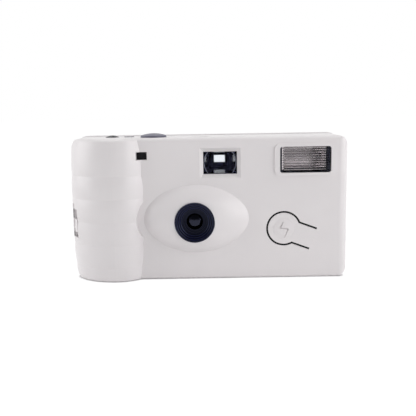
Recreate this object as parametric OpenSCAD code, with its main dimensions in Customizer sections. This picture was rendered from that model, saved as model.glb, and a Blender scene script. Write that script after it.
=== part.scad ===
// Single-use film camera with flash: moulded shell, film transport, shutter and flash unit.
// X runs to the right of the front view, Y from the front face to the back, Z up from the base.

/* [Film and battery] */
// Radius of the film cartridge
can_r = 12.5; // [11.5:0.1:13.5]
// Width of the film
film_h = 35; // [33:0.5:36]
// Width of the picture gate
gate_w = 36; // [32:0.5:40]
// Height of the picture gate
gate_h = 24; // [22:0.5:25]
// Radius of the unexposed film roll
roll_r = 8.6; // [7:0.1:9.5]
// Radius of the wound film on the cartridge spool
wound_r = 5.5; // [4.8:0.1:6.5]
// Radius of the battery
battery_r = 5.25; // [4.8:0.05:5.6]
// Length of the battery with its nub
battery_l = 44.5; // [43:0.1:45]

/* [Shell] */
// Wall of the moulded covers
wall = 1.6; // [1.2:0.1:2]
// Rounding of the corners in the front view
face_corner_r = 4.5; // [3:0.1:6]
// Rounding of the upright edge at the flash end
side_corner_r = 3.5; // [2.5:0.1:6]
// Rounding of the long edges of the covers
edge_r = 1.5; // [0.8:0.1:2]
// Rounding of the front edge at the base
base_r = 0.8; // [0.4:0.1:1.5]
// Depth of the back cover
back_depth = 8; // [7:0.5:10]
// Distance from the front face to the film
film_y = 24; // [22.5:0.5:28]
// Height of the ribs that press the film flat
rib_h = 3; // [2.6:0.1:4]
// Gap of the seam between the covers
seam_gap = 0.2; // [0.1:0.05:0.3]
// Step of the back cover above the front cover at the top
back_rise = 0.2; // [0:0.05:0.4]

/* [Grip] */
// Radius of the grip in its grooves, at half height
grip_r = 14.15; // [13:0.05:15]
// How much slimmer the grip is at its ends
grip_barrel = 1.4; // [0.5:0.1:2]
// Distance of the grip's axis behind the front face
grip_y = 8.6; // [8:0.1:9.5]
// Shift of the grip's axis from the cartridge towards the lens
grip_shift = 1.6; // [1:0.1:2.2]
// Height of the lowest finger groove
groove_z = 5.5; // [4:0.1:7]
// Distance between finger grooves
groove_pitch = 9.2; // [8:0.1:10]
// Bulge of the grip between grooves
groove_bulge = 0.3; // [0.2:0.05:0.9]

/* [Lens] */
// Front of the lens ring ahead of the front face
ring_front = 6.3; // [5.8:0.1:8]
// Radius of the lens ring
ring_r = 7.9; // [7:0.1:8.6]
// Half length of the oval boss
boss_a = 21; // [18:0.1:22]
// Half height of the oval boss
boss_b = 13.7; // [12:0.1:14.5]
// Rise of the oval boss at its crown
boss_rise = 7; // [5.5:0.1:7.2]
// Shift of the oval boss to the right of the lens
boss_dx = 0.6; // [-0.5:0.1:1]
// Shift of the oval boss above the lens
boss_dz = 0.6; // [-0.5:0.1:1]
// Radius of the taking lens
lens_r = 3.7; // [3.2:0.1:4]
// Radius of the aperture
aperture_r = 1.8; // [1.4:0.1:2]

/* [Viewfinder] */
// Width of the finder opening
finder_w = 13.4; // [11:0.1:15]
// Height of the finder opening
finder_h = 8.9; // [7:0.1:9.5]
// Width of the bevel round the finder opening
finder_bevel = 1.5; // [0.8:0.1:2]
// Distance of the finder to the right of the lens
finder_dx = 10.4; // [9.5:0.1:13]
// Distance of the finder below the top
finder_drop = 10.25; // [9.5:0.05:10.6]
// Width of the eyepiece opening
eye_w = 7.4; // [6:0.1:9]
// Height of the eyepiece opening
eye_h = 4.7; // [4:0.1:6]

/* [Flash] */
// Width of the flash opening
flash_w = 20.3; // [17:0.1:21]
// Height of the flash opening
flash_h = 10.4; // [9:0.1:11]
// Rounding of the corners of the flash opening
flash_corner_r = 1; // [0.5:0.1:1.3]
// Distance of the flash from the right end
flash_inset = 17; // [16.4:0.1:19]
// Distance of the flash below the top
flash_drop = 9.35; // [8.5:0.05:9.6]
// Width of the frame at the sides of the flash
rim_side = 2.1; // [1:0.1:2.6]
// Width of the frame above and below the flash
rim_top = 1.2; // [0.6:0.1:1.6]
// Height of the frame in front of the face
rim_rise = 0.6; // [0.3:0.1:1]
// Number of ribs on the flash window
flash_ribs = 11; // [6:1:14]

/* [Buttons] */
// Radius of the shutter button
button_r = 5.2; // [4.4:0.1:5.6]
// Rise of the shutter button above the top
button_rise = 1.6; // [1.2:0.1:2.5]
// Travel of the shutter button
button_travel = 1.2; // [0.8:0.1:1.4]
// Distance of the flash charge button from the right end
key_inset = 25.6; // [24.5:0.1:27]
// Distance of the flash charge button below the lens axis
key_drop = 3.9; // [3:0.1:5]
// Height of the bolt mark on the charge button
bolt_h = 6.1; // [5:0.1:8]
// Radius of the flash charge button
key_r = 6.3; // [5.5:0.1:6.8]
// Half width of the charge button's tongue
tongue_w = 4; // [3:0.1:4.6]
// Length of the tongue from the button's centre to its root
tongue_l = 12.6; // [10:0.1:13]
// Slope of the tongue below the horizontal
tongue_slope = 20.5; // [10:0.5:30]
// Width of the slot round the charge button
key_slot = 0.75; // [0.4:0.05:1]
// Radius of the thumbwheel
wheel_r = 14.6; // [14.2:0.1:15.5]
// Thickness of the thumbwheel
wheel_t = 3.6; // [2.8:0.1:4.2]
// Number of notches on the thumbwheel
wheel_notches = 60; // [40:2:80]

/* [Hidden] */
$fn = 64;
fine = 200;
// Clearances
run_fit = 0.05;
gap = 0.3;
can_gap = 0.9;
chamber_gap = 0.4;
cap_gap = 1.1;
roll_gap = 1.3;
lip_gap = 3;
// Thin parts
film_t = 0.2;
deck_t = 1;
disc_t = 1.2;
lip_t = 0.8;
chamber_t = 1;
contact_t = 0.4;
tray_t = 0.8;
pin_r = 1;
shaft_r = 1.5;
stem_r = 1.8;
boss_pin_r = 2.5;
// Film transport
can_ends = 4;
can_h = film_h + 2 * can_ends;
chamber_r = can_r + chamber_gap;
teeth = 8;
pitch_r = 6.05;
tooth_h = 1.15;
counts = 30;
// Flash capacitor
cap_r = 6.3;
cap_l = 27;

// Width, from the left wall across cartridge, battery, capacitor and film roll to the right wall
cart_off = wall + gap + wheel_r;
gate_off = cart_off + can_r + lip_gap;
lens_off = gate_off + gate_w / 2;
battery_off = cart_off + chamber_r + chamber_t + contact_t + gap;
tray_off = battery_off + battery_l + contact_t + gap;
cap_off = tray_off + tray_t + gap + cap_r;
roll_off = cap_off + cap_r + cap_gap + roll_r;
body_w = roll_off + roll_r + roll_gap + wall;
left_x = -body_w / 2;
right_x = body_w / 2;
cart_x = left_x + cart_off;
lens_x = left_x + lens_off;
battery_x = left_x + battery_off;
tray_x = left_x + tray_off;
cap_x = left_x + cap_off;
roll_x = left_x + roll_off;

// Depth, from the front face to the back
back_in = film_y + 2 * film_t + rib_h;
body_d = back_in + wall;
seam_y = body_d - back_depth;
cart_y = body_d - 0.4 - wheel_r;
roll_y = film_y - 0.1 - roll_r;
front_y = (ring_front - body_d) / 2;

// Height, from the base up through the cartridge and the winding mechanism to the top
can_z0 = wall + can_gap;
can_z1 = can_z0 + can_h;
lens_z = (can_z0 + can_z1) / 2;
deck_z0 = can_z1 + 0.4;
deck_z1 = deck_z0 + deck_t;
wheel_z0 = deck_z1 + 0.5;
wheel_z1 = wheel_z0 + wheel_t;
plate_z0 = wheel_z1 + 2 * gap;
plate_z1 = plate_z0 + deck_t;
disc_z0 = plate_z1 + 2 * gap;
disc_z1 = disc_z0 + disc_t;
top_in = disc_z1 + 1;
body_h = top_in + wall;

// Grip: two quarter barrels about upright axes, with grooves at set heights
grip_x = cart_x + grip_shift;
grip_end_r = grip_r - grip_barrel;
grip_more = grip_x - left_x - grip_end_r;
grip_left_y = grip_y + grip_more;
grip_fillet = 1.8;
grip_base_fillet = 1;
grip_lean = 0.36;
groove_n = 4;
grip_z = concat([0], [for (i = [0 : groove_n]) groove_z + i * groove_pitch], [body_h]);
function thousandth(v) = round(1000 * v) / 1000;
function grip_at(z) = grip_r - grip_barrel * pow(2 * z / body_h - 1, 2);
function band_bulge(i) = i == 0 ? 0.2 : i == groove_n + 1 ? 0.5 : groove_bulge;

// Oval boss: a spindle turned about an axis behind the front face
spin_y = (boss_b * boss_b - boss_rise * boss_rise) / (2 * boss_rise);
spin_r = spin_y + boss_rise;
spin_arc = (boss_a * boss_a + boss_rise * boss_rise) / (2 * boss_rise);
boss_x = lens_x + boss_dx;
boss_z = lens_z + boss_dz;
notch_r = 11.6;
notch_w = 2.8;
notch_x = boss_x - boss_a - notch_w + notch_r;
notch_z = boss_z - 0.3;

// Places on the front
finder_x = lens_x + finder_dx;
finder_z = body_h - finder_drop;
flash_x = right_x - flash_inset;
flash_z = body_h - flash_drop;
key_x = right_x - key_inset;
key_z = lens_z - key_drop;
latch_w = 4.2;
latch_h = 3.1;
latch_x = grip_x + 11.25;
latch_z = body_h - 7;
latch_depth = 1.1;
bolt_w = 0.45;
bolt_depth = 0.5;
key_t = 0.8;
key_relief = 1.2;
root_l = 1.4;

// Flash unit behind its window
mirror_left = 1;
mirror_right = 1.8;
mirror_low = 1.2;
mirror_t = 0.8;
mirror_y0 = wall + 0.8;
mirror_x0 = flash_x - flash_w / 2 + mirror_left;
mirror_x1 = flash_x + flash_w / 2 - mirror_right;
mirror_z0 = flash_z - flash_h / 2 + mirror_low;
mirror_z1 = flash_z + flash_h / 2;
trough_r = (mirror_z1 - mirror_z0) / 2 - 0.7;
tube_r = 1.5;
tube_y = mirror_y0 + 2.6;
tube_z = (mirror_z0 + mirror_z1) / 2;
flare_left = 1;
flare_right = 4;
housing_side = 0.8;
window_fit = 0.1;
housing_t = 0.8;

// Places on the top
sprocket_x = left_x + gate_off + 4;
button_x = sprocket_x - 2.3;
button_y = 8;
cap_z0 = disc_z1 + 0.4 + button_travel;
counter_x = button_x - 11.2;
counter_y = cart_y + 0.5;
counter_r = 9.8;
window_x = cart_x;
window_y = cart_y - 2;
window_r = 2.9;
window_rise = 0.8;
lamp_x = cart_x + 6.9;
lamp_l = 4.1;
lamp_w = 1.2;
lamp_rise = 0.25;
dimple_l = 6.7;
dimple_w = 3;

// Film transport and shutter
perf_z = lens_z + film_h / 2 - 3.4;
sprocket_y = film_y - pitch_r + 0.1;
finger_r = norm([counter_x - sprocket_x, counter_y - sprocket_y]) - counter_r + 0.08;
strike_x = lens_x - 8;
strike_y = 12;
blade_x = lens_x - 6;
blade_z = lens_z + 14;
blade_y0 = 3.3;
blade_y1 = 3.6;
tail_z = deck_z1 + 2.1;
lever_z0 = deck_z1 + 0.6;
lever_z1 = lever_z0 + 1.9;
lever_w = 1.3;
meter_drop = 5.6;
meter_x = sprocket_x - 0.5;
meter_y = sprocket_y - meter_drop;
pawl_turn = 32;
pawl_w = 2.2;
pawl_x = cart_x + wheel_r * cos(pawl_turn) + 0.7;
pawl_y = cart_y + wheel_r * sin(pawl_turn) + gap;
shutter_y0 = wall + 0.2;
shutter_y1 = shutter_y0 + 1;
front_plate_y0 = 4.6;
front_plate_y1 = 5.9;
front_plate_left = 14;
front_plate_right = 18;
deck_step = 11.5;
cover_half = 11;
cover_rise = 3;
cover_drop = 7;
gate_plate_y0 = film_y - 2.3;
gate_plate_y1 = film_y - 0.1;
dark_wall = 1.2;
dark_w = 4.5;
dark_h = 4;

// Chassis and electronics
floor_z0 = wall + 0.1;
floor_z1 = floor_z0 + 0.9;
shelf_z1 = floor_z1 + 1.8;
battery_y = wall + 0.65 + battery_r;
battery_z = floor_z1 + 0.15 + battery_r;
board_x0 = tray_x + tray_t + gap;
board_x1 = right_x - wall - 1.4;
board_y0 = wall + 1.4;
board_y1 = board_y0 + 1.2;
board_z0 = shelf_z1 + 0.1;
board_z1 = flash_z - flash_h / 2 - 2;
cap_y = board_y1 + gap + cap_r;
supply_z0 = lens_z + film_h / 2 + 1.7;
supply_z1 = supply_z0 + 1.2;
tunnel_t = 0.6;
tunnel_y0 = wall + 1.8;
eye_z = finder_z + 0.8;
spool_r = 4;
core_r = 3.5;
part_x = cap_x + cap_r + 1;
part_l = 4;
part_r = 1.05;
part_pitch = 3.5;
chip_t = 1.8;
coil_r = 2.3;
coil_l = 10;
coil_core_r = 1.6;
coil_core = 0.8;
coil_x = cap_x + cap_r + coil_r + 0.2;
coil_y = board_y1 + coil_r + run_fit;
coil_z0 = lens_z - 2;
coil_z1 = coil_z0 + coil_l;
sync_x = lens_x + front_plate_right - 5.5;
sync_l = 4;
sync_z0 = lens_z + 7;
sync_h = 2;
sync_leaf = 9;

// Cartridge door: a disc with a straight side on the hinge
door_r = can_r + 0.8;
door_fit = 0.25;
hinge_x = cart_x + door_r + 0.9;
hinge_half = 10;

// Strap lug in the left side
lug_z0 = lens_z - 6.8;
lug_y0 = 2;
lug_y1 = 6.5;
lug_low_h = 2.2;
lug_bridge_h = 5.2;
lug_high_h = 4.1;
lug_recess = 1.2;
lug_bridge_t = 2.4;
lug_depth = 4.4;

shell_colour = "whitesmoke";
black = "#1c1b22";
smoke = "#6d6b7c";
steel = "silver";

// Shared shapes

module camera() {
  translate([0, front_y, 0]) children();
}

module box(low, high) {
  translate(low) cube(high - low);
}

module post(x, y, z0, z1, r) {
  translate([x, y, z0]) cylinder(r = r, h = z1 - z0);
}

module rod_y(x, z, y0, y1, r) {
  translate([x, y0, z]) rotate([-90, 0, 0]) cylinder(r = r, h = y1 - y0);
}

module rod_x(y, z, x0, x1, r) {
  translate([x0, y, z]) rotate([0, 90, 0]) cylinder(r = r, h = x1 - x0);
}

module slab_y(y0, y1) {
  translate([0, y1, 0]) rotate([90, 0, 0]) linear_extrude(y1 - y0) children();
}

module slab_x(x0, x1) {
  translate([x0, 0, 0]) rotate([90, 0, 90]) linear_extrude(x1 - x0) children();
}

module slab_z(z0, z1) {
  translate([0, 0, z0]) linear_extrude(z1 - z0) children();
}

// Cuts a round of radius r from the corner at the origin that points along sx, sy
module corner_cut(r, sx, sy) {
  mirror([sx > 0 ? 1 : 0, 0]) mirror([0, sy > 0 ? 1 : 0]) difference() {
    translate([-1, -1]) square(r + 1);
    translate([r, r]) circle(r = r);
  }
}

// Rectangle from low to high, with a radius at each corner: low left, low right, high right, high left
module rounded(low, high, r) {
  difference() {
    translate(low) square(high - low);
    if (r[0] > 0) translate(low) corner_cut(r[0], -1, -1);
    if (r[1] > 0) translate([high[0], low[1]]) corner_cut(r[1], 1, -1);
    if (r[2] > 0) translate(high) corner_cut(r[2], 1, 1);
    if (r[3] > 0) translate([low[0], high[1]]) corner_cut(r[3], -1, 1);
  }
}

module slot(l, w) {
  square([l - w, w], center = true);
  for (s = [-1, 1]) translate([s * (l - w) / 2, 0]) circle(d = w);
}

// Rectangular block about (x, z) whose half sizes change from a at y0 to b at y1
module tapered(x, z, y0, a, y1, b) {
  intersection() {
    translate([x, 0, z - 100]) linear_extrude(200)
      polygon([[-a[0], y0], [a[0], y0], [b[0], y1], [-b[0], y1]]);
    translate([x, 0, z]) slab_x(-100, 100)
      polygon([[y0, -a[1]], [y0, a[1]], [y1, b[1]], [y1, -b[1]]]);
  }
}

// Shell

module front_view(inset, rise = 0) {
  r = face_corner_r - inset;
  rounded([left_x + inset, inset], [right_x - inset, body_h + rise - inset], [r, r, r, r]);
}

// One bulging band of the grip's profile, through (r1, z1) and (r2, z2) and a little past them,
// moved out by more
module grip_band(z1, r1, z2, r2, bulge, more) {
  chord = norm([r2 - r1, z2 - z1]);
  arc_r = thousandth((chord * chord / 4 + bulge * bulge) / (2 * bulge));
  mid_r = thousandth((r1 + r2) / 2 - (z2 - z1) / chord * (arc_r - bulge));
  mid_z = thousandth((z1 + z2) / 2 - (r1 - r2) / chord * (arc_r - bulge));
  intersection() {
    translate([mid_r + more, mid_z]) circle(r = arc_r, $fn = fine);
    translate([0, z1 - 1]) square([2 * grip_r + more, z2 - z1 + 2]);
  }
}

module grip_profile(more) {
  corner_r = grip_end_r + grip_lean + more;
  difference() {
    intersection() {
      union() for (i = [0 : groove_n + 1])
        grip_band(grip_z[i], grip_at(grip_z[i]), grip_z[i + 1], grip_at(grip_z[i + 1]),
          band_bulge(i), more);
      square([2 * grip_r + more, body_h]);
    }
    translate([corner_r, 0]) corner_cut(grip_base_fillet, 1, -1);
    translate([corner_r, body_h]) corner_cut(grip_fillet, 1, 1);
  }
}

module grip_hollow_profile(more) {
  intersection() {
    grip_band(0, grip_end_r - wall, body_h, grip_end_r - wall, grip_barrel, more);
    translate([0, wall]) square([2 * grip_r + more, body_h - 2 * wall]);
  }
}

module grip_quarters() {
  translate([grip_x, grip_y, 0]) rotate([0, 0, -90]) rotate_extrude(angle = 90) {
    if ($solid) grip_profile(0);
    else grip_hollow_profile(0);
  }
  translate([grip_x, grip_left_y, 0]) rotate([0, 0, 180]) rotate_extrude(angle = 90) {
    if ($solid) grip_profile(grip_more);
    else grip_hollow_profile(grip_more);
  }
}

module oval_boss() {
  intersection() {
    translate([boss_x, spin_y, boss_z]) rotate([0, 90, 0]) rotate_extrude() intersection() {
      translate([spin_r - spin_arc, 0]) circle(r = spin_arc, $fn = fine);
      translate([0, -2 * boss_a]) square([spin_r + 1, 4 * boss_a]);
    }
    box([boss_x - 2 * boss_a, -2 * ring_front, 0], [boss_x + 2 * boss_a, wall / 2, body_h]);
  }
}

module flash_frame() {
  half_w = flash_w / 2 + rim_side;
  half_h = flash_h / 2 + rim_top;
  r = 2 * rim_top;
  slab_y(-rim_rise, wall / 2) translate([flash_x, flash_z])
    rounded([-half_w, -half_h], [half_w, half_h], [r, r, r, r]);
}

module flash_opening(inset) {
  r = flash_corner_r - inset;
  translate([flash_x, flash_z]) rounded([inset - flash_w / 2, inset - flash_h / 2],
    [flash_w / 2 - inset, flash_h / 2 - inset], [r, r, r, r]);
}

// Outer form of the front cover, without its openings
module front_form() {
  intersection() {
    slab_y(-2 * ring_front, seam_y - seam_gap / 2) front_view(0);
    union() {
      intersection() {
        slab_z(0, body_h) rounded([grip_x, 0], [right_x, seam_y], [0, side_corner_r, 0, 0]);
        slab_x(grip_x, right_x) rounded([0, 0], [seam_y, body_h], [base_r, 0, 0, edge_r]);
      }
      box([left_x, grip_left_y, 0], [grip_x, seam_y, body_h]);
      difference() {
        grip_quarters($solid = true);
        rod_y(notch_x, notch_z, -2 * ring_front, 0, notch_r);
      }
      oval_boss();
      flash_frame();
    }
  }
}

module front_hollow() {
  intersection() {
    slab_y(-ring_front, seam_y + 1) front_view(wall);
    union() {
      slab_z(wall, top_in)
        rounded([grip_x, wall], [right_x - wall, seam_y + 1], [0, side_corner_r - wall, 0, 0]);
      box([left_x + wall, grip_left_y, wall], [grip_x, seam_y + 1, top_in]);
      difference() {
        grip_quarters($solid = false);
        rod_y(notch_x, notch_z, -ring_front, wall, notch_r + wall);
        box([latch_x - latch_w, -ring_front, latch_z - latch_h], [lens_x, wall, body_h]);
      }
    }
  }
}

module door_outline(more) {
  translate([cart_x, cart_y]) {
    circle(r = door_r + more);
    translate([0, -hinge_half - more]) square([hinge_x - cart_x + more, 2 * (hinge_half + more)]);
  }
}

module key_outline(r, half_w, l) {
  translate([key_x, key_z]) rotate(-tongue_slope) {
    circle(r = r);
    translate([0, -half_w]) square([l, 2 * half_w]);
  }
}

module lug_housing() {
  box([left_x + wall / 2, lug_y0 - 0.9, lug_z0 - 1.2],
    [left_x + lug_depth + 1, lug_y1 + 0.9, lug_z0 + lug_low_h + lug_bridge_h + lug_high_h + 3]);
}

module lug_cuts() {
  high_z = lug_z0 + lug_low_h + lug_bridge_h;
  box([left_x - 1, lug_y0 + 0.7, lug_z0], [left_x + lug_recess, lug_y1, high_z + lug_high_h + 2.2]);
  box([left_x - 1, lug_y0, lug_z0], [left_x + lug_depth, lug_y1, lug_z0 + lug_low_h]);
  box([left_x - 1, lug_y0, high_z], [left_x + lug_depth, lug_y1, high_z + lug_high_h]);
  box([left_x + lug_bridge_t, lug_y0, lug_z0], [left_x + lug_depth, lug_y1, high_z + lug_high_h]);
}

module front_openings() {
  rod_y(lens_x, lens_z, -2 * ring_front, wall + 1, ring_r + run_fit);
  tapered(finder_x, finder_z, -0.01, [finder_w / 2 + finder_bevel, finder_h / 2 + finder_bevel],
    wall + 0.01, [finder_w / 2, finder_h / 2]);
  slab_y(-2, wall + 1) flash_opening(0);
  slab_y(-1, wall + 1) key_outline(key_r + key_slot, tongue_w + key_slot, tongue_l);
  slab_y(key_t, wall + 1)
    key_outline(key_r + key_slot + key_relief, tongue_w + key_slot + key_relief, tongue_l - root_l);
  box([latch_x - latch_w / 2, -2 * ring_front, latch_z - latch_h / 2],
    [latch_x + latch_w / 2, wall + 1, latch_z + latch_h / 2]);
  lug_cuts();
  post(button_x, button_y, top_in - 1, body_h + 1, button_r + 0.2);
  post(window_x, window_y, top_in - 1, body_h + 1, window_r);
  slab_z(top_in - 1, body_h + 1) translate([lamp_x, window_y]) slot(lamp_l, lamp_w);
  slab_z(body_h - 0.4, body_h + 1) translate([lens_x + 2.5, button_y - 2]) slot(dimple_l, dimple_w);
  slab_z(-1, wall + 1) door_outline(door_fit);
}

module front_cover() {
  color(shell_colour) camera() difference() {
    union() {
      difference() {
        front_form();
        front_hollow();
      }
      intersection() {
        lug_housing();
        front_form();
      }
    }
    front_openings();
  }
}

module back_form() {
  intersection() {
    slab_y(seam_y + seam_gap / 2, body_d) front_view(0, back_rise);
    slab_z(0, body_h + back_rise)
      rounded([left_x, 0], [right_x, body_d], [0, 0, 2 * edge_r, 2 * edge_r]);
    slab_x(left_x, right_x) rounded([0, 0], [body_d, body_h + back_rise], [0, edge_r, edge_r, 0]);
  }
}

// Tongues at both ends that reach into the front cover
module back_tongues() {
  for (s = [-1, 1]) translate([s * (right_x - wall), seam_y, lens_z]) {
    translate([-s * (0.1 + lip_t / 2), 0, 0]) cube([lip_t, 4, film_h], center = true);
    translate([0, 1.5, 0]) cube([2 * lip_t + 0.2, 1, film_h], center = true);
  }
}

module press_ribs() {
  for (k = [-2 : 2]) translate([0, 0, lens_z + k * film_h / 4 - (k == 2 ? 0.5 : 0)])
    box([lens_x - gate_w / 2 - 2, film_y + 2 * film_t, -0.5],
      [roll_x - roll_r - 3, back_in + wall / 2, 0.5]);
}

module thumb_scoop() {
  scoop_r = 20;
  scoop_depth = 2.2;
  translate([cart_x, body_d + scoop_r - scoop_depth, (wheel_z0 + wheel_z1) / 2])
    sphere(r = scoop_r, $fn = fine);
}

module eye_opening(more, y0, y1) {
  box([finder_x - eye_w / 2 - more, y0, eye_z - eye_h / 2 - more],
    [finder_x + eye_w / 2 + more, y1, eye_z + eye_h / 2 + more]);
}

module back_cover() {
  label_h = gate_h + 2;
  color(shell_colour) camera() difference() {
    union() {
      difference() {
        back_form();
        intersection() {
          slab_y(seam_y - 1, back_in) front_view(wall);
          slab_z(0, body_h)
            rounded([left_x + wall, 0], [right_x - wall, back_in], [0, 0, edge_r, edge_r]);
        }
      }
      back_tongues();
      press_ribs();
      intersection() {
        back_form();
        post(cart_x, body_d, wheel_z0 - 7, wheel_z1 + 4, 11);
        box([left_x, back_in - 0.6, 0], [right_x, body_d, body_h]);
      }
      eye_opening(2, back_in - 0.6, body_d - wall / 2);
    }
    thumb_scoop();
    box([cart_x - wheel_r / 2 - 0.8, back_in - 2, wheel_z0 - 0.4],
      [cart_x + wheel_r / 2 + 0.8, body_d + 1, wheel_z1 + 0.4]);
    eye_opening(0, seam_y, body_d + 1);
    eye_opening(0.9, seam_y, body_d - 0.7);
    tapered(finder_x, eye_z, body_d - 0.6, [eye_w / 2, eye_h / 2],
      body_d + 0.01, [eye_w / 2 + 0.7, eye_h / 2 + 0.7]);
    slab_y(body_d - 0.3, body_d + 1) translate([lens_x + 4, lens_z - 4])
      rounded([-gate_w, -label_h / 2], [gate_w + 10, label_h / 2], [2, 2, 2, 2]);
    slab_z(-1, wall + 1) door_outline(door_fit);
  }
}

module cartridge_door() {
  color(shell_colour) camera() {
    difference() {
      slab_z(0, wall) door_outline(0);
      slab_z(-1, 0.3) translate([cart_x - door_r + 4, cart_y]) rotate(90) slot(8, 2);
    }
    difference() {
      post(cart_x, cart_y, wall, can_z0 - 0.4, spool_r + 3);
      post(cart_x, cart_y, wall - 1, can_z0, spool_r + 0.8);
    }
  }
}

// Chassis

module deck_outline(x1) {
  intersection() {
    union() {
      translate([cart_x, cart_y]) circle(r = can_r + 1.3);
      translate([cart_x + deck_step, front_plate_y0])
        square([x1 - cart_x - deck_step, gate_plate_y1 - front_plate_y0]);
    }
    translate([left_x, 0]) square([body_w, back_in - 0.8]);
  }
}

module dark_box() {
  mid_w = gate_w / 2;
  mid_h = gate_h / 2;
  difference() {
    tapered(lens_x, lens_z, front_plate_y0, [dark_w + dark_wall, dark_h + dark_wall],
      gate_plate_y1, [mid_w + dark_wall, mid_h + dark_wall]);
    tapered(lens_x, lens_z, front_plate_y1, [dark_w, dark_h], film_y + 1, [mid_w, mid_h]);
  }
}

module chassis_plates() {
  gate_x0 = lens_x - gate_w / 2 - 4.2;
  gate_x1 = roll_x - roll_r - 2.4;
  low_top = finder_z - finder_h / 2 - tunnel_t - 0.25;
  difference() {
    union() {
      box([gate_x0, gate_plate_y0, floor_z0], [gate_x1, gate_plate_y1, low_top]);
      box([gate_x0, gate_plate_y0, low_top - 1], [lens_x - 2, gate_plate_y1, deck_z1]);
    }
    tapered(lens_x, lens_z, front_plate_y1, [dark_w, dark_h], film_y + 1, [gate_w / 2, gate_h / 2]);
  }
  box([lens_x - front_plate_left, front_plate_y0, battery_z + battery_r + 0.8],
    [lens_x + front_plate_right, front_plate_y1, low_top]);
  box([lens_x - front_plate_left, front_plate_y0, low_top - 1], [lens_x - 2, front_plate_y1, deck_z1]);
  slab_z(deck_z0, deck_z1) deck_outline(lens_x - 2);
  box([battery_x - tray_t, battery_y - battery_r, floor_z0], [tray_x + tray_t, gate_plate_y1, floor_z1]);
  box([tray_x, battery_y - battery_r, floor_z0],
    [tray_x + tray_t, battery_y + battery_r, battery_z + battery_r]);
  box([tray_x, board_y0 - 0.6, floor_z0], [roll_x + core_r + 1, gate_plate_y1, shelf_z1]);
  box([gate_x1 - 2, gate_plate_y0 - 1.5, low_top - 1], [gate_x1, gate_plate_y1, supply_z1]);
  box([gate_x1 - 1, 10, supply_z0], [right_x - wall - lip_t - 0.6, gate_plate_y1, supply_z1]);
}

module cartridge_chamber() {
  intersection() {
    difference() {
      post(cart_x, cart_y, floor_z1 - 0.5, deck_z0 + 0.5, chamber_r + chamber_t);
      post(cart_x, cart_y, 0, body_h, chamber_r);
    }
    box([cart_x + can_r / 2, wall + 0.4, 0], [lens_x, cart_y + can_r - 5, body_h]);
  }
}

module chassis() {
  color(black) camera() difference() {
    union() {
      difference() {
        chassis_plates();
        tapered(lens_x, lens_z, front_plate_y1, [dark_w, dark_h], film_y + 1, [gate_w / 2, gate_h / 2]);
      }
      dark_box();
      cartridge_chamber();
      post(strike_x, strike_y, deck_z0, lever_z1 + 1.2, pin_r);
      post(meter_x, meter_y, deck_z0, lever_z1 + 1.2, pin_r);
      rod_y(blade_x, blade_z, shutter_y1 + 0.1, front_plate_y1, pin_r);
    }
    rod_y(lens_x, lens_z, front_plate_y0 - 1, front_plate_y1 + 1, aperture_r);
    post(sprocket_x, sprocket_y, perf_z - 1.2, deck_z0, pitch_r + tooth_h + 0.3);
    post(sprocket_x, sprocket_y, deck_z0 - 1, deck_z1 + 1, shaft_r + run_fit);
    post(cart_x, cart_y, deck_z0 - 1, deck_z1 + 1, spool_r + 0.5);
    for (z = [floor_z0, supply_z0]) post(roll_x, roll_y, z - 1, z + shelf_z1, shaft_r + run_fit);
  }
}

module mechanism_plate() {
  color(black) camera() difference() {
    union() {
      slab_z(plate_z0, plate_z1) deck_outline(lens_x - 3.5);
      box([cart_x + deck_step, shutter_y0 + 0.4, plate_z0], [lens_x - 3.5, front_plate_y1 + 0.4, plate_z1]);
      box([latch_x - latch_w / 2 - 0.6, wall + 0.2, latch_z - latch_h / 2 - 0.6],
        [latch_x + latch_w / 2 + 0.6, wall + 1.6, plate_z1]);
      box([latch_x - latch_w / 2 + 0.3, latch_depth, latch_z - latch_h / 2 + 0.3],
        [latch_x + latch_w / 2 - 0.3, wall + 1, latch_z + latch_h / 2 - 0.3]);
      for (p = [[lens_x - 5, gate_plate_y0 - 2], [sprocket_x + 4.8, gate_plate_y0 - 0.5]])
        post(p[0], p[1], deck_z1, plate_z1, shaft_r);
      post(counter_x, counter_y, plate_z0, disc_z1 + 0.3, shaft_r);
    }
    post(cart_x, cart_y, plate_z0 - 1, plate_z1 + 1, boss_pin_r + run_fit);
    post(sprocket_x, sprocket_y, plate_z0 - 1, plate_z1 + 1, shaft_r + run_fit);
    post(button_x, button_y, plate_z0 - 1, plate_z1 + 1, stem_r + run_fit);
  }
}

// Lens and shutter

module lens_ring() {
  steps = 5;
  step_y = (ring_front - 3.2) / steps;
  step_r = (ring_r - 0.6 - lens_r) / steps;
  color(black) camera() difference() {
    rod_y(lens_x, lens_z, -ring_front, shutter_y0, ring_r);
    for (i = [0 : steps - 1])
      rod_y(lens_x, lens_z, -ring_front - 1, -ring_front + (i + 1) * step_y, ring_r - 0.6 - i * step_r);
    rod_y(lens_x, lens_z, -ring_front, shutter_y0, lens_r - 0.4);
    rod_y(lens_x, lens_z, -2.6, shutter_y0 + 1, lens_r + 1.3 + run_fit);
  }
}

module taking_lens() {
  front_r = 6;
  back_r = 9;
  color("lightsteelblue", 0.4) camera() difference() {
    intersection() {
      rod_y(lens_x, lens_z, -2.5, -0.3, lens_r);
      translate([lens_x, -2.5 + front_r, lens_z]) sphere(r = front_r, $fn = fine);
    }
    translate([lens_x, -1 + back_r, lens_z]) sphere(r = back_r, $fn = fine);
  }
}

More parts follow.
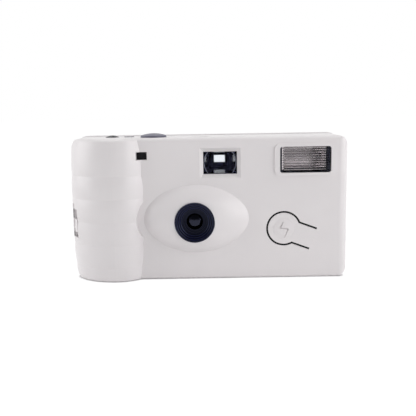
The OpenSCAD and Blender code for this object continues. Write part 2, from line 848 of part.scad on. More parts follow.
module shutter_cover() {
  color(black) camera() difference() {
    union() {
      box([lens_x - cover_half, shutter_y0, battery_z + battery_r + 2 * tray_t],
        [lens_x + cover_half, shutter_y1, blade_z + cover_rise]);
      rod_y(lens_x, lens_z, -2.55, shutter_y1, lens_r + 1.3);
      for (p = [[-1, lens_z - cover_drop], [1, lens_z - cover_drop], [1, blade_z]])
        rod_y(lens_x + p[0] * (cover_half - shaft_r), p[1], shutter_y0, front_plate_y0, 1.2);
    }
    rod_y(lens_x, lens_z, -3, -0.25, lens_r + run_fit);
    rod_y(lens_x, lens_z, -1, shutter_y1 + 1, lens_r - 0.7);
  }
}

module shutter_blade() {
  dx = lens_x - blade_x;
  dz = lens_z - blade_z;
  reach = norm([dx, dz]);
  side = [dz, -dx] * 1.4 / reach;
  arm = [dx, dz] * 1.3 / reach;
  color(steel) camera() difference() {
    union() {
      rod_y(lens_x, lens_z, blade_y0, blade_y1, aperture_r + 1.2);
      rod_y(blade_x, blade_z, blade_y0, blade_y1, 2.2);
      slab_y(blade_y0, blade_y1) translate([blade_x, blade_z])
        polygon([arm - side, arm + side, [dx, dz] + side, [dx, dz] - side]);
      box([blade_x - 1, blade_y0, blade_z + 1.5], [blade_x + 1, blade_y1, tail_z]);
    }
    rod_y(blade_x, blade_z, 0, front_plate_y0, pin_r + run_fit);
  }
}

module blade_spring() {
  color(steel) camera() difference() {
    rod_y(blade_x, blade_z, blade_y1 + 0.15, front_plate_y0 - 0.1, 1.9);
    rod_y(blade_x, blade_z, 0, front_plate_y0 + 1, pin_r + run_fit);
  }
}

module strike_lever() {
  color(black) camera() difference() {
    union() {
      post(strike_x, strike_y, lever_z0, lever_z1, 2);
      box([strike_x - 0.7, blade_y0 - 0.6, lever_z0], [blade_x - 1 - gap, strike_y, lever_z1]);
      box([strike_x, strike_y - 0.8, lever_z0], [strike_x + 5, strike_y + 0.8, lever_z1]);
    }
    post(strike_x, strike_y, 0, body_h, pin_r + run_fit);
  }
}

module striker_spring() {
  color(steel) camera() difference() {
    post(strike_x, strike_y, lever_z1 + 0.2, lever_z1 + 1.1, 1.9);
    post(strike_x, strike_y, 0, body_h, pin_r + run_fit);
  }
}

module metering_lever() {
  color(black) camera() difference() {
    union() {
      post(meter_x, meter_y, lever_z0, lever_z1, 1.9);
      box([button_x + stem_r + gap, button_y - 0.5, lever_z0],
        [button_x + stem_r + gap + lever_w, meter_y - 1.2, lever_z1]);
    }
    post(meter_x, meter_y, 0, body_h, pin_r + run_fit);
  }
}

// Controls

module shutter_button() {
  dome_r = 16;
  top = body_h + button_rise;
  color(smoke) camera() {
    intersection() {
      post(button_x, button_y, cap_z0, top, button_r);
      translate([button_x, button_y, top - dome_r]) sphere(r = dome_r, $fn = fine);
    }
    post(button_x, button_y, lever_z1 + 0.6, cap_z0 + 0.5, stem_r);
  }
}

module button_spring() {
  color(steel) camera() difference() {
    post(button_x, button_y, plate_z1 + run_fit, cap_z0 - run_fit, stem_r + 1);
    post(button_x, button_y, 0, body_h, stem_r + 0.2);
  }
}

// Bolt of three strokes from corner to corner
module bolt_mark() {
  corners = bolt_h * [[-0.05, 0.41], [-0.25, 0.02], [0.29, -0.03], [0.05, -0.59]];
  for (i = [0 : 2]) {
    run = corners[i + 1] - corners[i];
    translate(corners[i]) rotate(atan2(run[1], run[0]))
      translate([0, -bolt_w / 2]) square([norm(run), bolt_w]);
  }
}

module flash_button() {
  root_t = 0.2;
  root_gap = 0.012;
  dome_r = 26;
  dome_rise = 0.35;
  color(shell_colour) camera() difference() {
    union() {
      slab_y(0, key_t) key_outline(key_r, tongue_w, tongue_l - root_l);
      rod_y(key_x, key_z, 0, wall, key_r - 2);
      slab_y(0, root_t) key_outline(key_r, tongue_w, tongue_l - root_gap);
      intersection() {
        rod_y(key_x, key_z, -1, wall / 2, key_r - 1);
        translate([key_x, dome_r - dome_rise, key_z]) sphere(r = dome_r, $fn = fine);
      }
    }
    slab_y(-1, bolt_depth - dome_rise) translate([key_x, key_z]) bolt_mark();
  }
}

module thumbwheel() {
  step = 360 / wheel_notches;
  notch = 0.5;
  rim = [for (i = [0 : wheel_notches - 1], k = [0 : 3])
    (k == 1 || k == 2 ? wheel_r : wheel_r - notch)
      * [cos((i + 0.05 + 0.3 * k) * step), sin((i + 0.05 + 0.3 * k) * step)]];
  color(black) camera() {
    translate([cart_x, cart_y]) difference() {
      slab_z(wheel_z0, wheel_z1) polygon(rim);
      difference() {
        post(0, 0, wheel_z1 - 1, wheel_z1 + 1, wheel_r - 2.5);
        post(0, 0, wheel_z1 - 2, wheel_z1 + 2, 4);
      }
    }
    post(cart_x, cart_y, wheel_z0 + 1, plate_z1 - 0.2, boss_pin_r);
    box([cart_x - 0.8, cart_y - 2.8, deck_z0 - 0.6], [cart_x + 0.8, cart_y + 2.8, wheel_z0 + 1]);
  }
}

module winding_pawl() {
  color(steel) camera() box([pawl_x, pawl_y, deck_z1], [pawl_x + pawl_w, gate_plate_y1, wheel_z1 - 1]);
}

// Film

module cartridge_can() {
  color("darkslategray") camera() difference() {
    union() {
      post(cart_x, cart_y, can_z0 + 1, can_z1 - 1, can_r);
      box([cart_x + can_r / 2, film_y - 1.1, lens_z - film_h / 2 - 1.5],
        [cart_x + can_r - 1.6, film_y + 1.3, lens_z + film_h / 2 + 1.5]);
    }
    post(cart_x, cart_y, 0, body_h, can_r - 0.4);
    box([cart_x, film_y - 0.05, lens_z - film_h / 2 - 0.1],
      [lens_x, film_y + film_t + 0.05, lens_z + film_h / 2 + 0.1]);
  }
}

module cartridge_caps() {
  color(black) camera() for (z = [can_z0, can_z1 - 1]) difference() {
    post(cart_x, cart_y, z, z + 1, can_r);
    post(cart_x, cart_y, 0, body_h, spool_r + run_fit);
  }
}

module cartridge_spool() {
  color(black) camera() difference() {
    union() {
      post(cart_x, cart_y, can_z0 - 0.6, deck_z1, spool_r);
      post(cart_x, cart_y, can_z0 + 1.3, can_z1 - 1.3, wound_r);
    }
    box([cart_x - 0.9, cart_y - 3, deck_z0 - 0.7], [cart_x + 0.9, cart_y + 3, body_h]);
  }
}

module film_strip() {
  perf_pitch = 4.75;
  x0 = cart_x + can_r / 2 + 0.3;
  slot_half = sqrt(pow(pitch_r + tooth_h, 2) - pow(pitch_r - 0.1, 2)) + 0.4;
  color("saddlebrown") camera() difference() {
    box([x0, film_y, lens_z - film_h / 2], [roll_x, film_y + film_t, lens_z + film_h / 2]);
    for (s = [-1, 1], x = [x0 + perf_pitch : perf_pitch : roll_x - perf_pitch])
      translate([x, film_y, lens_z + s * (perf_z - lens_z)]) cube([1.98, 4, 2.8], center = true);
    box([sprocket_x - slot_half, film_y - 1, perf_z - 1.4],
      [sprocket_x + slot_half, film_y + 1, perf_z + 1.4]);
  }
}

module sprocket() {
  tooth_w = 1.5;
  color(black) camera() translate([sprocket_x, sprocket_y]) difference() {
    union() {
      post(0, 0, perf_z - 0.9, perf_z + 0.9, pitch_r - 0.25);
      for (i = [0 : teeth - 1]) rotate(i * 360 / teeth + 90)
        box([pitch_r - 1.5, -tooth_w / 2, perf_z - 0.9], [pitch_r + tooth_h, tooth_w / 2, perf_z + 0.9]);
      post(0, 0, perf_z - 0.5, disc_z1 - 0.1, shaft_r);
      post(0, 0, lever_z0, lever_z1, 3.2);
      rotate(20) box([0, -0.3, disc_z0 + 0.2], [finger_r, 0.3, disc_z1 - 0.1]);
    }
    rotate(-100) box([2.2, -0.6, lever_z0 - 1], [5, 0.6, lever_z1 + 1]);
  }
}

module supply_spool() {
  color(black) camera() {
    post(roll_x, roll_y, floor_z0 + 0.2, supply_z1 + 0.2, shaft_r);
    post(roll_x, roll_y, shelf_z1 + gap, supply_z0 - gap, core_r);
  }
}

module film_roll() {
  color("saddlebrown") camera() difference() {
    post(roll_x, roll_y, lens_z - film_h / 2, lens_z + film_h / 2, roll_r);
    post(roll_x, roll_y, 0, body_h, core_r + run_fit);
  }
}

module counter_disc() {
  step = 360 / counts;
  tooth = 0.5;
  rim = [for (i = [0 : counts - 1], k = [0 : 3])
    (k == 1 || k == 2 ? counter_r : counter_r - tooth)
      * [cos((i + 0.5 + 0.06 * (k - 1.5)) * step), sin((i + 0.5 + 0.06 * (k - 1.5)) * step)]];
  turn = atan2(sprocket_y - counter_y, sprocket_x - counter_x);
  color("gainsboro") camera() translate([counter_x, counter_y]) difference() {
    rotate(turn) slab_z(disc_z0, disc_z1) polygon(rim);
    post(0, 0, 0, body_h, shaft_r + run_fit);
  }
}

module counter_window() {
  dome_r = (window_r * window_r + window_rise * window_rise) / (2 * window_rise);
  top = body_h + window_rise;
  color("dimgray", 0.6) camera() {
    intersection() {
      post(window_x, window_y, top_in - 0.2, top, window_r - run_fit);
      translate([window_x, window_y, top - dome_r]) sphere(r = dome_r, $fn = fine);
    }
    post(window_x, window_y, top_in - 0.5, top_in, window_r + 0.8);
  }
}

module ready_lamp() {
  color("darkslategray", 0.7) camera() {
    slab_z(top_in - 0.2, body_h + lamp_rise)
      translate([lamp_x, window_y]) slot(lamp_l - 0.1, lamp_w - 0.1);
    slab_z(top_in - 0.5, top_in) translate([lamp_x, window_y]) slot(lamp_l + 1, lamp_w + 1);
  }
}

// Viewfinder

module viewfinder_frame() {
  color(black) camera() difference() {
    box([finder_x - finder_w / 2 - tunnel_t, tunnel_y0, finder_z - finder_h / 2 - tunnel_t],
      [finder_x + finder_w / 2 + tunnel_t, back_in - 1.4, finder_z + finder_h / 2 + tunnel_t]);
    box([finder_x - finder_w / 2, tunnel_y0 - 1, finder_z - finder_h / 2],
      [finder_x + finder_w / 2, back_in - 2.2, finder_z + finder_h / 2]);
    eye_opening(0.3, tunnel_y0, back_in);
  }
}

module viewfinder_front_lens() {
  back_r = 18;
  color("lightsteelblue", 0.4) camera() difference() {
    box([finder_x - finder_w / 2 - 0.6, wall + 0.05, finder_z - finder_h / 2 - 0.6],
      [finder_x + finder_w / 2 + 0.6, tunnel_y0 - 0.1, finder_z + finder_h / 2 + 0.6]);
    translate([finder_x, wall + 0.5 + back_r, finder_z]) sphere(r = back_r, $fn = fine);
  }
}

module viewfinder_eyepiece() {
  front_r = 14;
  color("lightsteelblue", 0.4) camera() intersection() {
    eye_opening(0.8, back_in - 1.2, body_d - 0.75);
    translate([finder_x, back_in - 1.2 + front_r, eye_z]) sphere(r = front_r, $fn = fine);
  }
}

// Flash

module flash_window() {
  rib_r = flash_h / flash_ribs / 2;
  half_w = flash_w / 2 - window_fit;
  half_h = flash_h / 2 - window_fit;
  color("gainsboro", 0.5) camera() {
    slab_y(0.5, wall + 0.4) flash_opening(window_fit);
    box([flash_x - half_w - 0.8, wall + 0.05, flash_z - half_h - 0.8],
      [flash_x + half_w + 0.8, wall + 0.7, flash_z + half_h + 0.8]);
    intersection() {
      box([flash_x - half_w + 1.4, -1, flash_z - half_h], [flash_x + half_w - 1.4, wall, flash_z + half_h]);
      for (i = [0 : flash_ribs - 1]) translate([0, 0, flash_z - flash_h / 2 + (2 * i + 1) * rib_r])
        rod_x(0.55, 0, flash_x - half_w, flash_x + half_w, rib_r - 0.01);
    }
  }
}

// Frame behind the window, round the reflector
module flash_housing() {
  half_w = flash_w / 2 + housing_side;
  half_h = flash_h / 2 + housing_side;
  color(black) camera() difference() {
    box([flash_x - half_w, mirror_y0, flash_z - half_h],
      [flash_x + half_w, mirror_y0 + housing_t, flash_z + half_h]);
    box([mirror_x0 - run_fit, 0, mirror_z0 - run_fit], [mirror_x1 + run_fit, seam_y, mirror_z1 + run_fit]);
  }
}

// Trough with a slanting wall at each end
module flash_reflector() {
  x0 = mirror_x0 + mirror_t;
  x1 = mirror_x1 - mirror_t;
  mouth_y = mirror_y0 + 0.6;
  back_y = mouth_y + trough_r + 0.5;
  color(steel) camera() difference() {
    box([mirror_x0, mirror_y0, mirror_z0], [mirror_x1, back_y + 0.5, mirror_z1]);
    intersection() {
      union() {
        rod_x(mouth_y, tube_z, mirror_x0, mirror_x1, trough_r);
        box([mirror_x0, mirror_y0 - 1, tube_z - trough_r], [mirror_x1, mouth_y, tube_z + trough_r]);
      }
      slab_z(mirror_z0, mirror_z1) polygon([[x0, mirror_y0 - 1], [x1, mirror_y0 - 1], [x1, mirror_y0],
        [x1 - flare_right, back_y], [x0 + flare_left, back_y], [x0, mirror_y0]]);
    }
    rod_x(tube_y, tube_z, mirror_x0 - 1, mirror_x1 + 1, tube_r + run_fit);
  }
}

module flash_tube() {
  cap = 0.8;
  pin = 2;
  color("white", 0.5) camera() {
    rod_x(tube_y, tube_z, mirror_x0 - cap, mirror_x1 + cap, tube_r);
    rod_x(tube_y, tube_z, mirror_x0 - pin, mirror_x1 + pin, tube_r / 3);
  }
}

module circuit_board() {
  color("darkgreen") camera() difference() {
    box([board_x0, board_y0, board_z0], [board_x1, board_y1, board_z1]);
    for (x = [board_x0 + 2, board_x1 - 2], z = [board_z0 + 2, board_z1 - 2])
      rod_y(x, z, board_y0 - 1, board_y1 + 1, 0.8);
  }
}

module main_capacitor() {
  color("midnightblue") camera() {
    difference() {
      post(cap_x, cap_y, board_z0, board_z0 + cap_l, cap_r);
      translate([cap_x, cap_y, board_z0 + cap_l - 3])
        rotate_extrude() translate([cap_r + 0.3, 0]) circle(r = 0.9);
    }
    for (s = [-1, 1]) rod_y(cap_x + 2.5 * s, board_z0 + 2, board_y1, cap_y - cap_r + 1, 0.4);
  }
}

module transformer() {
  z0 = board_z0 + cap_l + 0.8;
  z1 = board_z1 - 0.2;
  color("peru") camera() {
    post(cap_x, cap_y - 1.5, z0, z1, 3.6);
    for (z = [z0, z1 - 1]) box([cap_x - 4.8, board_y1 + 0.05, z], [cap_x + 4.8, cap_y + 3.3, z + 1]);
  }
}

module trigger_coil() {
  color("khaki") camera() {
    post(coil_x, coil_y, coil_z0, coil_z1, coil_r);
    post(coil_x, coil_y, coil_z0 - coil_core, coil_z1 + coil_core, coil_core_r);
  }
}

module board_components() {
  part_y = board_y1 + run_fit;
  color(black) camera() {
    for (i = [0 : 2])
      rod_x(part_y + part_r, board_z0 + (i + 0.9) * part_pitch, part_x, part_x + part_l, part_r);
    box([part_x, part_y, board_z0 + 3.6 * part_pitch],
      [part_x + part_l, part_y + chip_t, board_z0 + 4.6 * part_pitch]);
    box([part_x, part_y, board_z1 - part_l - 1], [part_x + part_l, part_y + chip_t, board_z1 - 1]);
  }
}

module charge_contact() {
  color("goldenrod") camera() {
    box([key_x - 3, board_y0 - 0.4, key_z - 2], [key_x + 3, board_y0 - 0.15, key_z + 2]);
    box([key_x + 2, board_y0 - 0.2, key_z - 2], [key_x + 3, board_y0, key_z + 2]);
  }
}

module battery() {
  color("slategray") camera() {
    rod_x(battery_y, battery_z, battery_x, battery_x + battery_l - 1, battery_r);
    rod_x(battery_y, battery_z, battery_x + 1, battery_x + battery_l, 1.9);
  }
}

module battery_contacts() {
  half = battery_r - 1;
  color(steel) camera() for (x = [battery_x - contact_t - 0.1, battery_x + battery_l + 0.1])
    box([x, battery_y - half, floor_z1], [x + contact_t, battery_y + half, battery_z + half]);
}

module sync_contact() {
  color("goldenrod") camera() {
    box([sync_x, front_plate_y0 - 1.4, sync_z0], [sync_x + sync_l, front_plate_y0, sync_z0 + sync_h]);
    box([sync_x + sync_l / 4, front_plate_y0 - 1.2, sync_z0 - sync_l],
      [sync_x + sync_l * 3 / 4, front_plate_y0 - 0.9, sync_z0 + sync_leaf]);
  }
}

front_cover();
back_cover();
cartridge_door();
chassis();
mechanism_plate();
lens_ring();
taking_lens();
shutter_cover();
shutter_blade();
blade_spring();
strike_lever();
striker_spring();
metering_lever();
shutter_button();
button_spring();
flash_button();
thumbwheel();
winding_pawl();
cartridge_can();
cartridge_caps();
cartridge_spool();
film_strip();
sprocket();
supply_spool();
film_roll();
counter_disc();
counter_window();
ready_lamp();
viewfinder_frame();
viewfinder_front_lens();
viewfinder_eyepiece();
flash_window();
flash_housing();
flash_reflector();
flash_tube();
circuit_board();
main_capacitor();
transformer();
trigger_coil();
board_components();
charge_contact();
battery();
battery_contacts();
sync_contact();
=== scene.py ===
"""Dresses the single-use film camera: moulded finishes, small details, studio light and view."""

import math

import bmesh
import bpy
from bpy.props import FloatProperty, FloatVectorProperty, IntProperty, PointerProperty
from mathutils import Matrix, Vector


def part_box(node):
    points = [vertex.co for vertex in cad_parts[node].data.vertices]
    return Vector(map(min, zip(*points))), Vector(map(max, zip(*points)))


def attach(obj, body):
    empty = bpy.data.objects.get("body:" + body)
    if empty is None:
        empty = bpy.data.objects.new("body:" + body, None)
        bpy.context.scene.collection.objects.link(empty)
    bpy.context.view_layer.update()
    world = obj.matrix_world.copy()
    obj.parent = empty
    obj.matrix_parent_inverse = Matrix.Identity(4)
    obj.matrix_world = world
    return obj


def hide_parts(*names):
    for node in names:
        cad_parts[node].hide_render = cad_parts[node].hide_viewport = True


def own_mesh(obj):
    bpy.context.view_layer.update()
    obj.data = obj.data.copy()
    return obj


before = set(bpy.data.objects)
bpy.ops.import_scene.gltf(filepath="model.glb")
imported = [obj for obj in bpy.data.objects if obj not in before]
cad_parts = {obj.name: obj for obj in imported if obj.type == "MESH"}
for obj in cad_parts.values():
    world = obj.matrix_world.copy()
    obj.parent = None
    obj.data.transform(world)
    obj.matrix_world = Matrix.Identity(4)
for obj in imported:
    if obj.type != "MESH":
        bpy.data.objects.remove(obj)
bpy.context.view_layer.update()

bl_info = {
    "name": "Single-use film camera",
    "version": (1, 0, 0),
    "blender": (4, 5, 0),
    "location": "3D View > Sidebar > Film camera",
    "description": "Finishes, small details and studio for a single-use film camera",
    "category": "Object",
}

MM = 0.001
MICRON = 0.001 * MM

# Front face to the seam between the covers
FRONT_DEPTH = 20.9 * MM

# Tints of the coated plastics' reflections
BLOOMED = (0.30, 0.32, 0.44)
BLOOMED_RING = (0.70, 0.75, 1.0)
BLOOMED_LENS = (0.62, 0.66, 1.0)
BLOOMED_FINDER = (0.12, 0.12, 0.24)
ACRYLIC_IOR = 1.49
GLASS_IOR = 1.47

# Flash window and reflector: ribs, and the far end as shares of the reflector's width; the rib valleys and
# the far end are painted darker as painted shade
RIB_PITCH = 10.4 * MM / 11
WAVE_FACTOR = 20
RIB_SCALE = 2 * math.pi / (WAVE_FACTOR * RIB_PITCH)
PAINTED_SHADE_START = 0.66
PAINTED_SHADE_FULL = 0.72
RIB_SHADE = 0.3
FAR_RIB_SHADE = 0.8

# Lens ring: smooth and dull within this radius, ribbed outside; the colour is painted darker within it as
# painted shade, and lighter on the rib crests as painted highlights
RING_STEP = 4.6 * MM
RING_STEP_WIDTH = 0.6 * MM

# Strap slots: the lining, a sheet of painted shade on the slots' rear wall, pales between these distances
# from the side
DARK_LIP = 0.35 * MM
PALE_LIP = 0.85 * MM

# Noise, and the part of it that a gloss runs over
NOISE_ROUGHNESS = 0.55
NOISE_LOW = 0.3
NOISE_HIGH = 0.7

# Meshes
EDGE_STEPS = 24
EDGE_HALF_ANGLE = math.radians(40.0)
EDGE_TAPER = 0.6
SLOT_STEPS = 72
SHADE_STRIP_BEVEL = 0.1
COIL_STEPS = 28
WIRE_SIDES = 10
OPEN_PITCH = 3.6
CLOSE_PITCH = 2.2
RIM_BEVEL = 0.45
RIM_SEGMENTS = 2
RIM_PROFILE = 0.6

# Counter: strokes and numbers as shares of the numeral's height
FIRST_MARK = math.radians(145.0)
BLANK_MARKS = 3
NUMBER_EVERY = 3
STROKE_HALF = 0.06
STROKE_REACH = 0.5
NUMBER_RISE = 0.25
PRINT_LIFT = 0.02 * MM

# Winding arrow: shares of its length, and its place from the thumbwheel
ARROW_SHAFT = 0.07
ARROW_NECK = 0.12
ARROW_HEAD = 0.22
ARROW_ROOT = 0.1 * MM
ARROW_ASIDE = 19.0 * MM
ARROW_DROP = 3.0 * MM

# Studio, in metres
SENSOR_WIDTH = 36.0
NEAR_CLIP = 0.01
LIGHT_AIM = (0.0, 0.0, 0.03)
SIDE_PANEL = (0.5, 0.6)
TOP_PANEL = (0.7, 0.5)
LEFT_SPOT = (-0.6, -0.05, 0.14)
RIGHT_SPOT = (0.5, -0.28, 0.2)
TOP_SPOT = (0.0, 0.1, 0.75)
WHITE = (1.0, 1.0, 1.0, 1.0)
FLOOR_REACH = 3.0
FLOOR_DROP = 0.02 * MM
FLOOR_GLOW = 1.1
FLOOR_WHITE = 0.88
CONTACT_SAMPLES = 16
CONTACT_DARK = 0.5
CONTACT_OPEN = 0.95

# Mirror rays meet a dim studio in front: its strength, and where along Y it starts to brighten and is white
OPEN_SIDE = 0.08
OPEN_EDGE = -0.85
WHITE_EDGE = -0.15


def tone(name, description, default):
    """Colour property for a finish."""
    return FloatVectorProperty(
        name=name, description=description, default=default, subtype="COLOR", size=3, min=0.0, max=1.0
    )


def length(name, description, default):
    """Length property in metres."""
    return FloatProperty(name=name, description=description, default=default, unit="LENGTH", precision=5)


def tilt(name, description, degrees):
    """Angle property, given in degrees."""
    return FloatProperty(name=name, description=description, default=math.radians(degrees), subtype="ANGLE")


def power(name, description, default):
    """Power property in watts."""
    return FloatProperty(name=name, description=description, default=default, unit="POWER")


class FinishSettings(bpy.types.PropertyGroup):
    """Colours and grain of the camera's finishes."""

    shell: tone("Shell", "White of the moulded covers", (0.824, 0.790, 0.800))
    shell_shade: tone("Shell shade", "Slightly duller white in the moulding's flow", (0.797, 0.764, 0.775))
    moulded: tone("Moulded black", "Black of the chassis and inner mouldings", (0.004, 0.004, 0.006))
    moulded_shade: tone("Moulded black shade", "Rubbed tone of the black mouldings", (0.010, 0.010, 0.013))
    ring: tone("Lens ring", "Blue-black of the ribbed lens ring", (0.0015, 0.002, 0.012))
    button: tone("Button", "Bluish grey of the shutter button", (0.150, 0.146, 0.200))
    button_shade: tone("Button shade", "Darker tone of the shutter button", (0.120, 0.118, 0.165))
    clear: tone("Clear plastic", "Tint of the finder", (0.93, 0.95, 0.98))
    lens: tone("Taking lens", "Deep tint of the taking lens", (0.040, 0.044, 0.060))
    smoked: tone("Smoked plastic", "Tint of the counter window and lamp", (0.22, 0.22, 0.27))
    diffuser: tone("Flash diffuser", "Tint of the ribbed flash window", (0.97, 0.945, 0.95))
    plating: tone("Plating", "Bright plating of the flash reflector", (0.95, 0.925, 0.935))
    film: tone("Film", "Brown of the film base", (0.085, 0.035, 0.018))
    board: tone("Circuit board", "Dark green of the laminate", (0.005, 0.012, 0.007))
    copper: tone("Winding", "Copper of the windings", (0.62, 0.27, 0.12))
    brass: tone("Brass", "Contact leaves", (0.72, 0.50, 0.20))
    steel: tone("Steel", "Springs, pawl and battery contacts", (0.56, 0.56, 0.57))
    tube: tone("Flash tube", "Glass of the flash tube", (0.96, 0.96, 0.97))
    cartridge: tone("Cartridge", "Dark paint of the film cartridge", (0.03, 0.035, 0.04))
    cartridge_band: tone("Cartridge band", "Pale bands on the film cartridge", (0.30, 0.30, 0.29))
    capacitor: tone("Capacitor", "Sleeve of the main capacitor", (0.012, 0.016, 0.06))
    capacitor_band: tone("Capacitor band", "Band on the capacitor's sleeve", (0.45, 0.46, 0.5))
    battery: tone("Battery", "Sleeve of the battery", (0.18, 0.185, 0.20))
    battery_band: tone("Battery band", "Band on the battery's sleeve", (0.55, 0.42, 0.16))
    ivory: tone("Counter disc", "Ivory of the counter disc", (0.80, 0.80, 0.78))
    ivory_shade: tone("Counter disc shade", "Duller ivory of the counter disc", (0.72, 0.72, 0.69))
    ink: tone("Ink", "Black of the printed marks", (0.012, 0.012, 0.014))
    ink_shade: tone("Ink shade", "Thinner print of the marks", (0.03, 0.03, 0.034))
    # Painted shade: grey of the sheet laid in the strap slots, where there is only shade
    slot_shade_sheet: tone("Slot lining", "Dull grey inside the strap slots", (0.30, 0.295, 0.305))
    # Painted highlight: pale colour of the arcs at the finder lens's edge
    lens_edge: tone("Lens edge", "Ground edge of the finder lens", (0.66, 0.66, 0.78))
    grain: FloatProperty(
        name="Moulded grain", description="Grains of the mould's texture per metre", default=5200.0, min=500.0
    )


class DetailSettings(bpy.types.PropertyGroup):
    """Sizes of the small details."""

    numeral: length("Numeral height", "Height of the numbers on the counter disc", 1.5 * MM)
    numeral_ring: length("Numeral ring", "Radius of the ring of numbers", 7.0 * MM)
    exposures: IntProperty(
        name="Exposures", description="Highest number on the counter", default=27, min=12, max=39
    )
    arrow: length("Arrow length", "Length of the winding arrow on the back", 7.0 * MM)
    relief: length("Relief", "Height of printed marks", 0.03 * MM)
    slot_low: length("Low slot", "Height of the foot of the low strap slot", 17.25 * MM)
    slot_low_top: length("Low slot top", "Height of the top of the low strap slot", 19.35 * MM)
    slot_high: length("High slot", "Height of the foot of the high strap slot", 24.65 * MM)
    slot_high_top: length("High slot top", "Height of the top of the high strap slot", 28.65 * MM)
    slot_depth: length("Slot depth", "Depth of the strap slots into the left side", 4.1 * MM)
    slot_rear: length("Slot rear", "Distance of the strap slots' rear wall ahead of the seam", 14.42 * MM)
    slot_shade_sheet: length("Slot lining", "Thickness of the strap slots' lining", 0.25 * MM)
    button_wire: length("Button spring wire", "Radius of the button spring's wire", 0.3 * MM)
    button_travel: length("Button travel", "Travel of the shutter button", 1.2 * MM)
    lever_wire: length("Lever spring wire", "Radius of the lever springs' wire", 0.14 * MM)
    key_radius: length("Key radius", "Radius of the charge key's disc", 6.3 * MM)
    key_slot: length("Key slot", "Width of the slot round the charge key", 0.75 * MM)
    tongue_half: length("Key tongue", "Half width of the charge key's tongue", 4.0 * MM)
    tongue_length: length("Tongue length", "Distance from the key's centre to the end of its slot", 12.5 * MM)
    tongue_slope: tilt("Tongue slope", "Downward slope of the tongue", 20.5)
    # Painted shade: a black strip laid in the key's slot, where there is only shade
    shade_strip_width: length("Shield width", "Width of the light shield in the key's slot", 0.62 * MM)
    shade_strip_depth: length("Shield depth", "Depth of the light shield", 0.4 * MM)
    shade_strip_sunk: length("Shield sunk", "Depth of the light shield below the face", 0.12 * MM)
    # Sizes of the pale arcs that are the painted highlight at the finder lens's edge
    edge_radius: length("Lens edge radius", "Radius of the finder lens's ground edge", 6.4 * MM)
    edge_width: length("Lens edge width", "Width of the finder lens's ground edge", 0.28 * MM)


class StageSettings(bpy.types.PropertyGroup):
    """Camera, light and floor."""

    distance: length("Distance", "Viewing distance ahead of the front face", 259.1 * MM)
    height: length("Height", "Height of the view point", 69.49 * MM)
    aside: length("Aside", "Offset of the view point to the left", 0.29 * MM)
    pitch: tilt("Pitch", "Downward tilt of the view", 8.915)
    roll: tilt("Roll", "Roll of the view", -0.91)
    focal: FloatProperty(name="Focal length", description="Lens in mm on a 36 mm sensor", default=56.8)
    ambient: FloatProperty(
        name="Ambient", description="Strength of the surrounding light", default=0.4, min=0.0
    )
    side_left: power("Left light", "Power of the left panel", 2.0)
    side_right: power("Right light", "Power of the right panel", 1.95)
    overhead: power("Top light", "Power of the overhead panel", 1.35)
    floor: tone("Floor", "Pale floor", (0.92, 0.92, 0.92))
    contact: length("Contact shade", "Reach of the shade where the camera stands on the floor", 1.4 * MM)


# Finishes


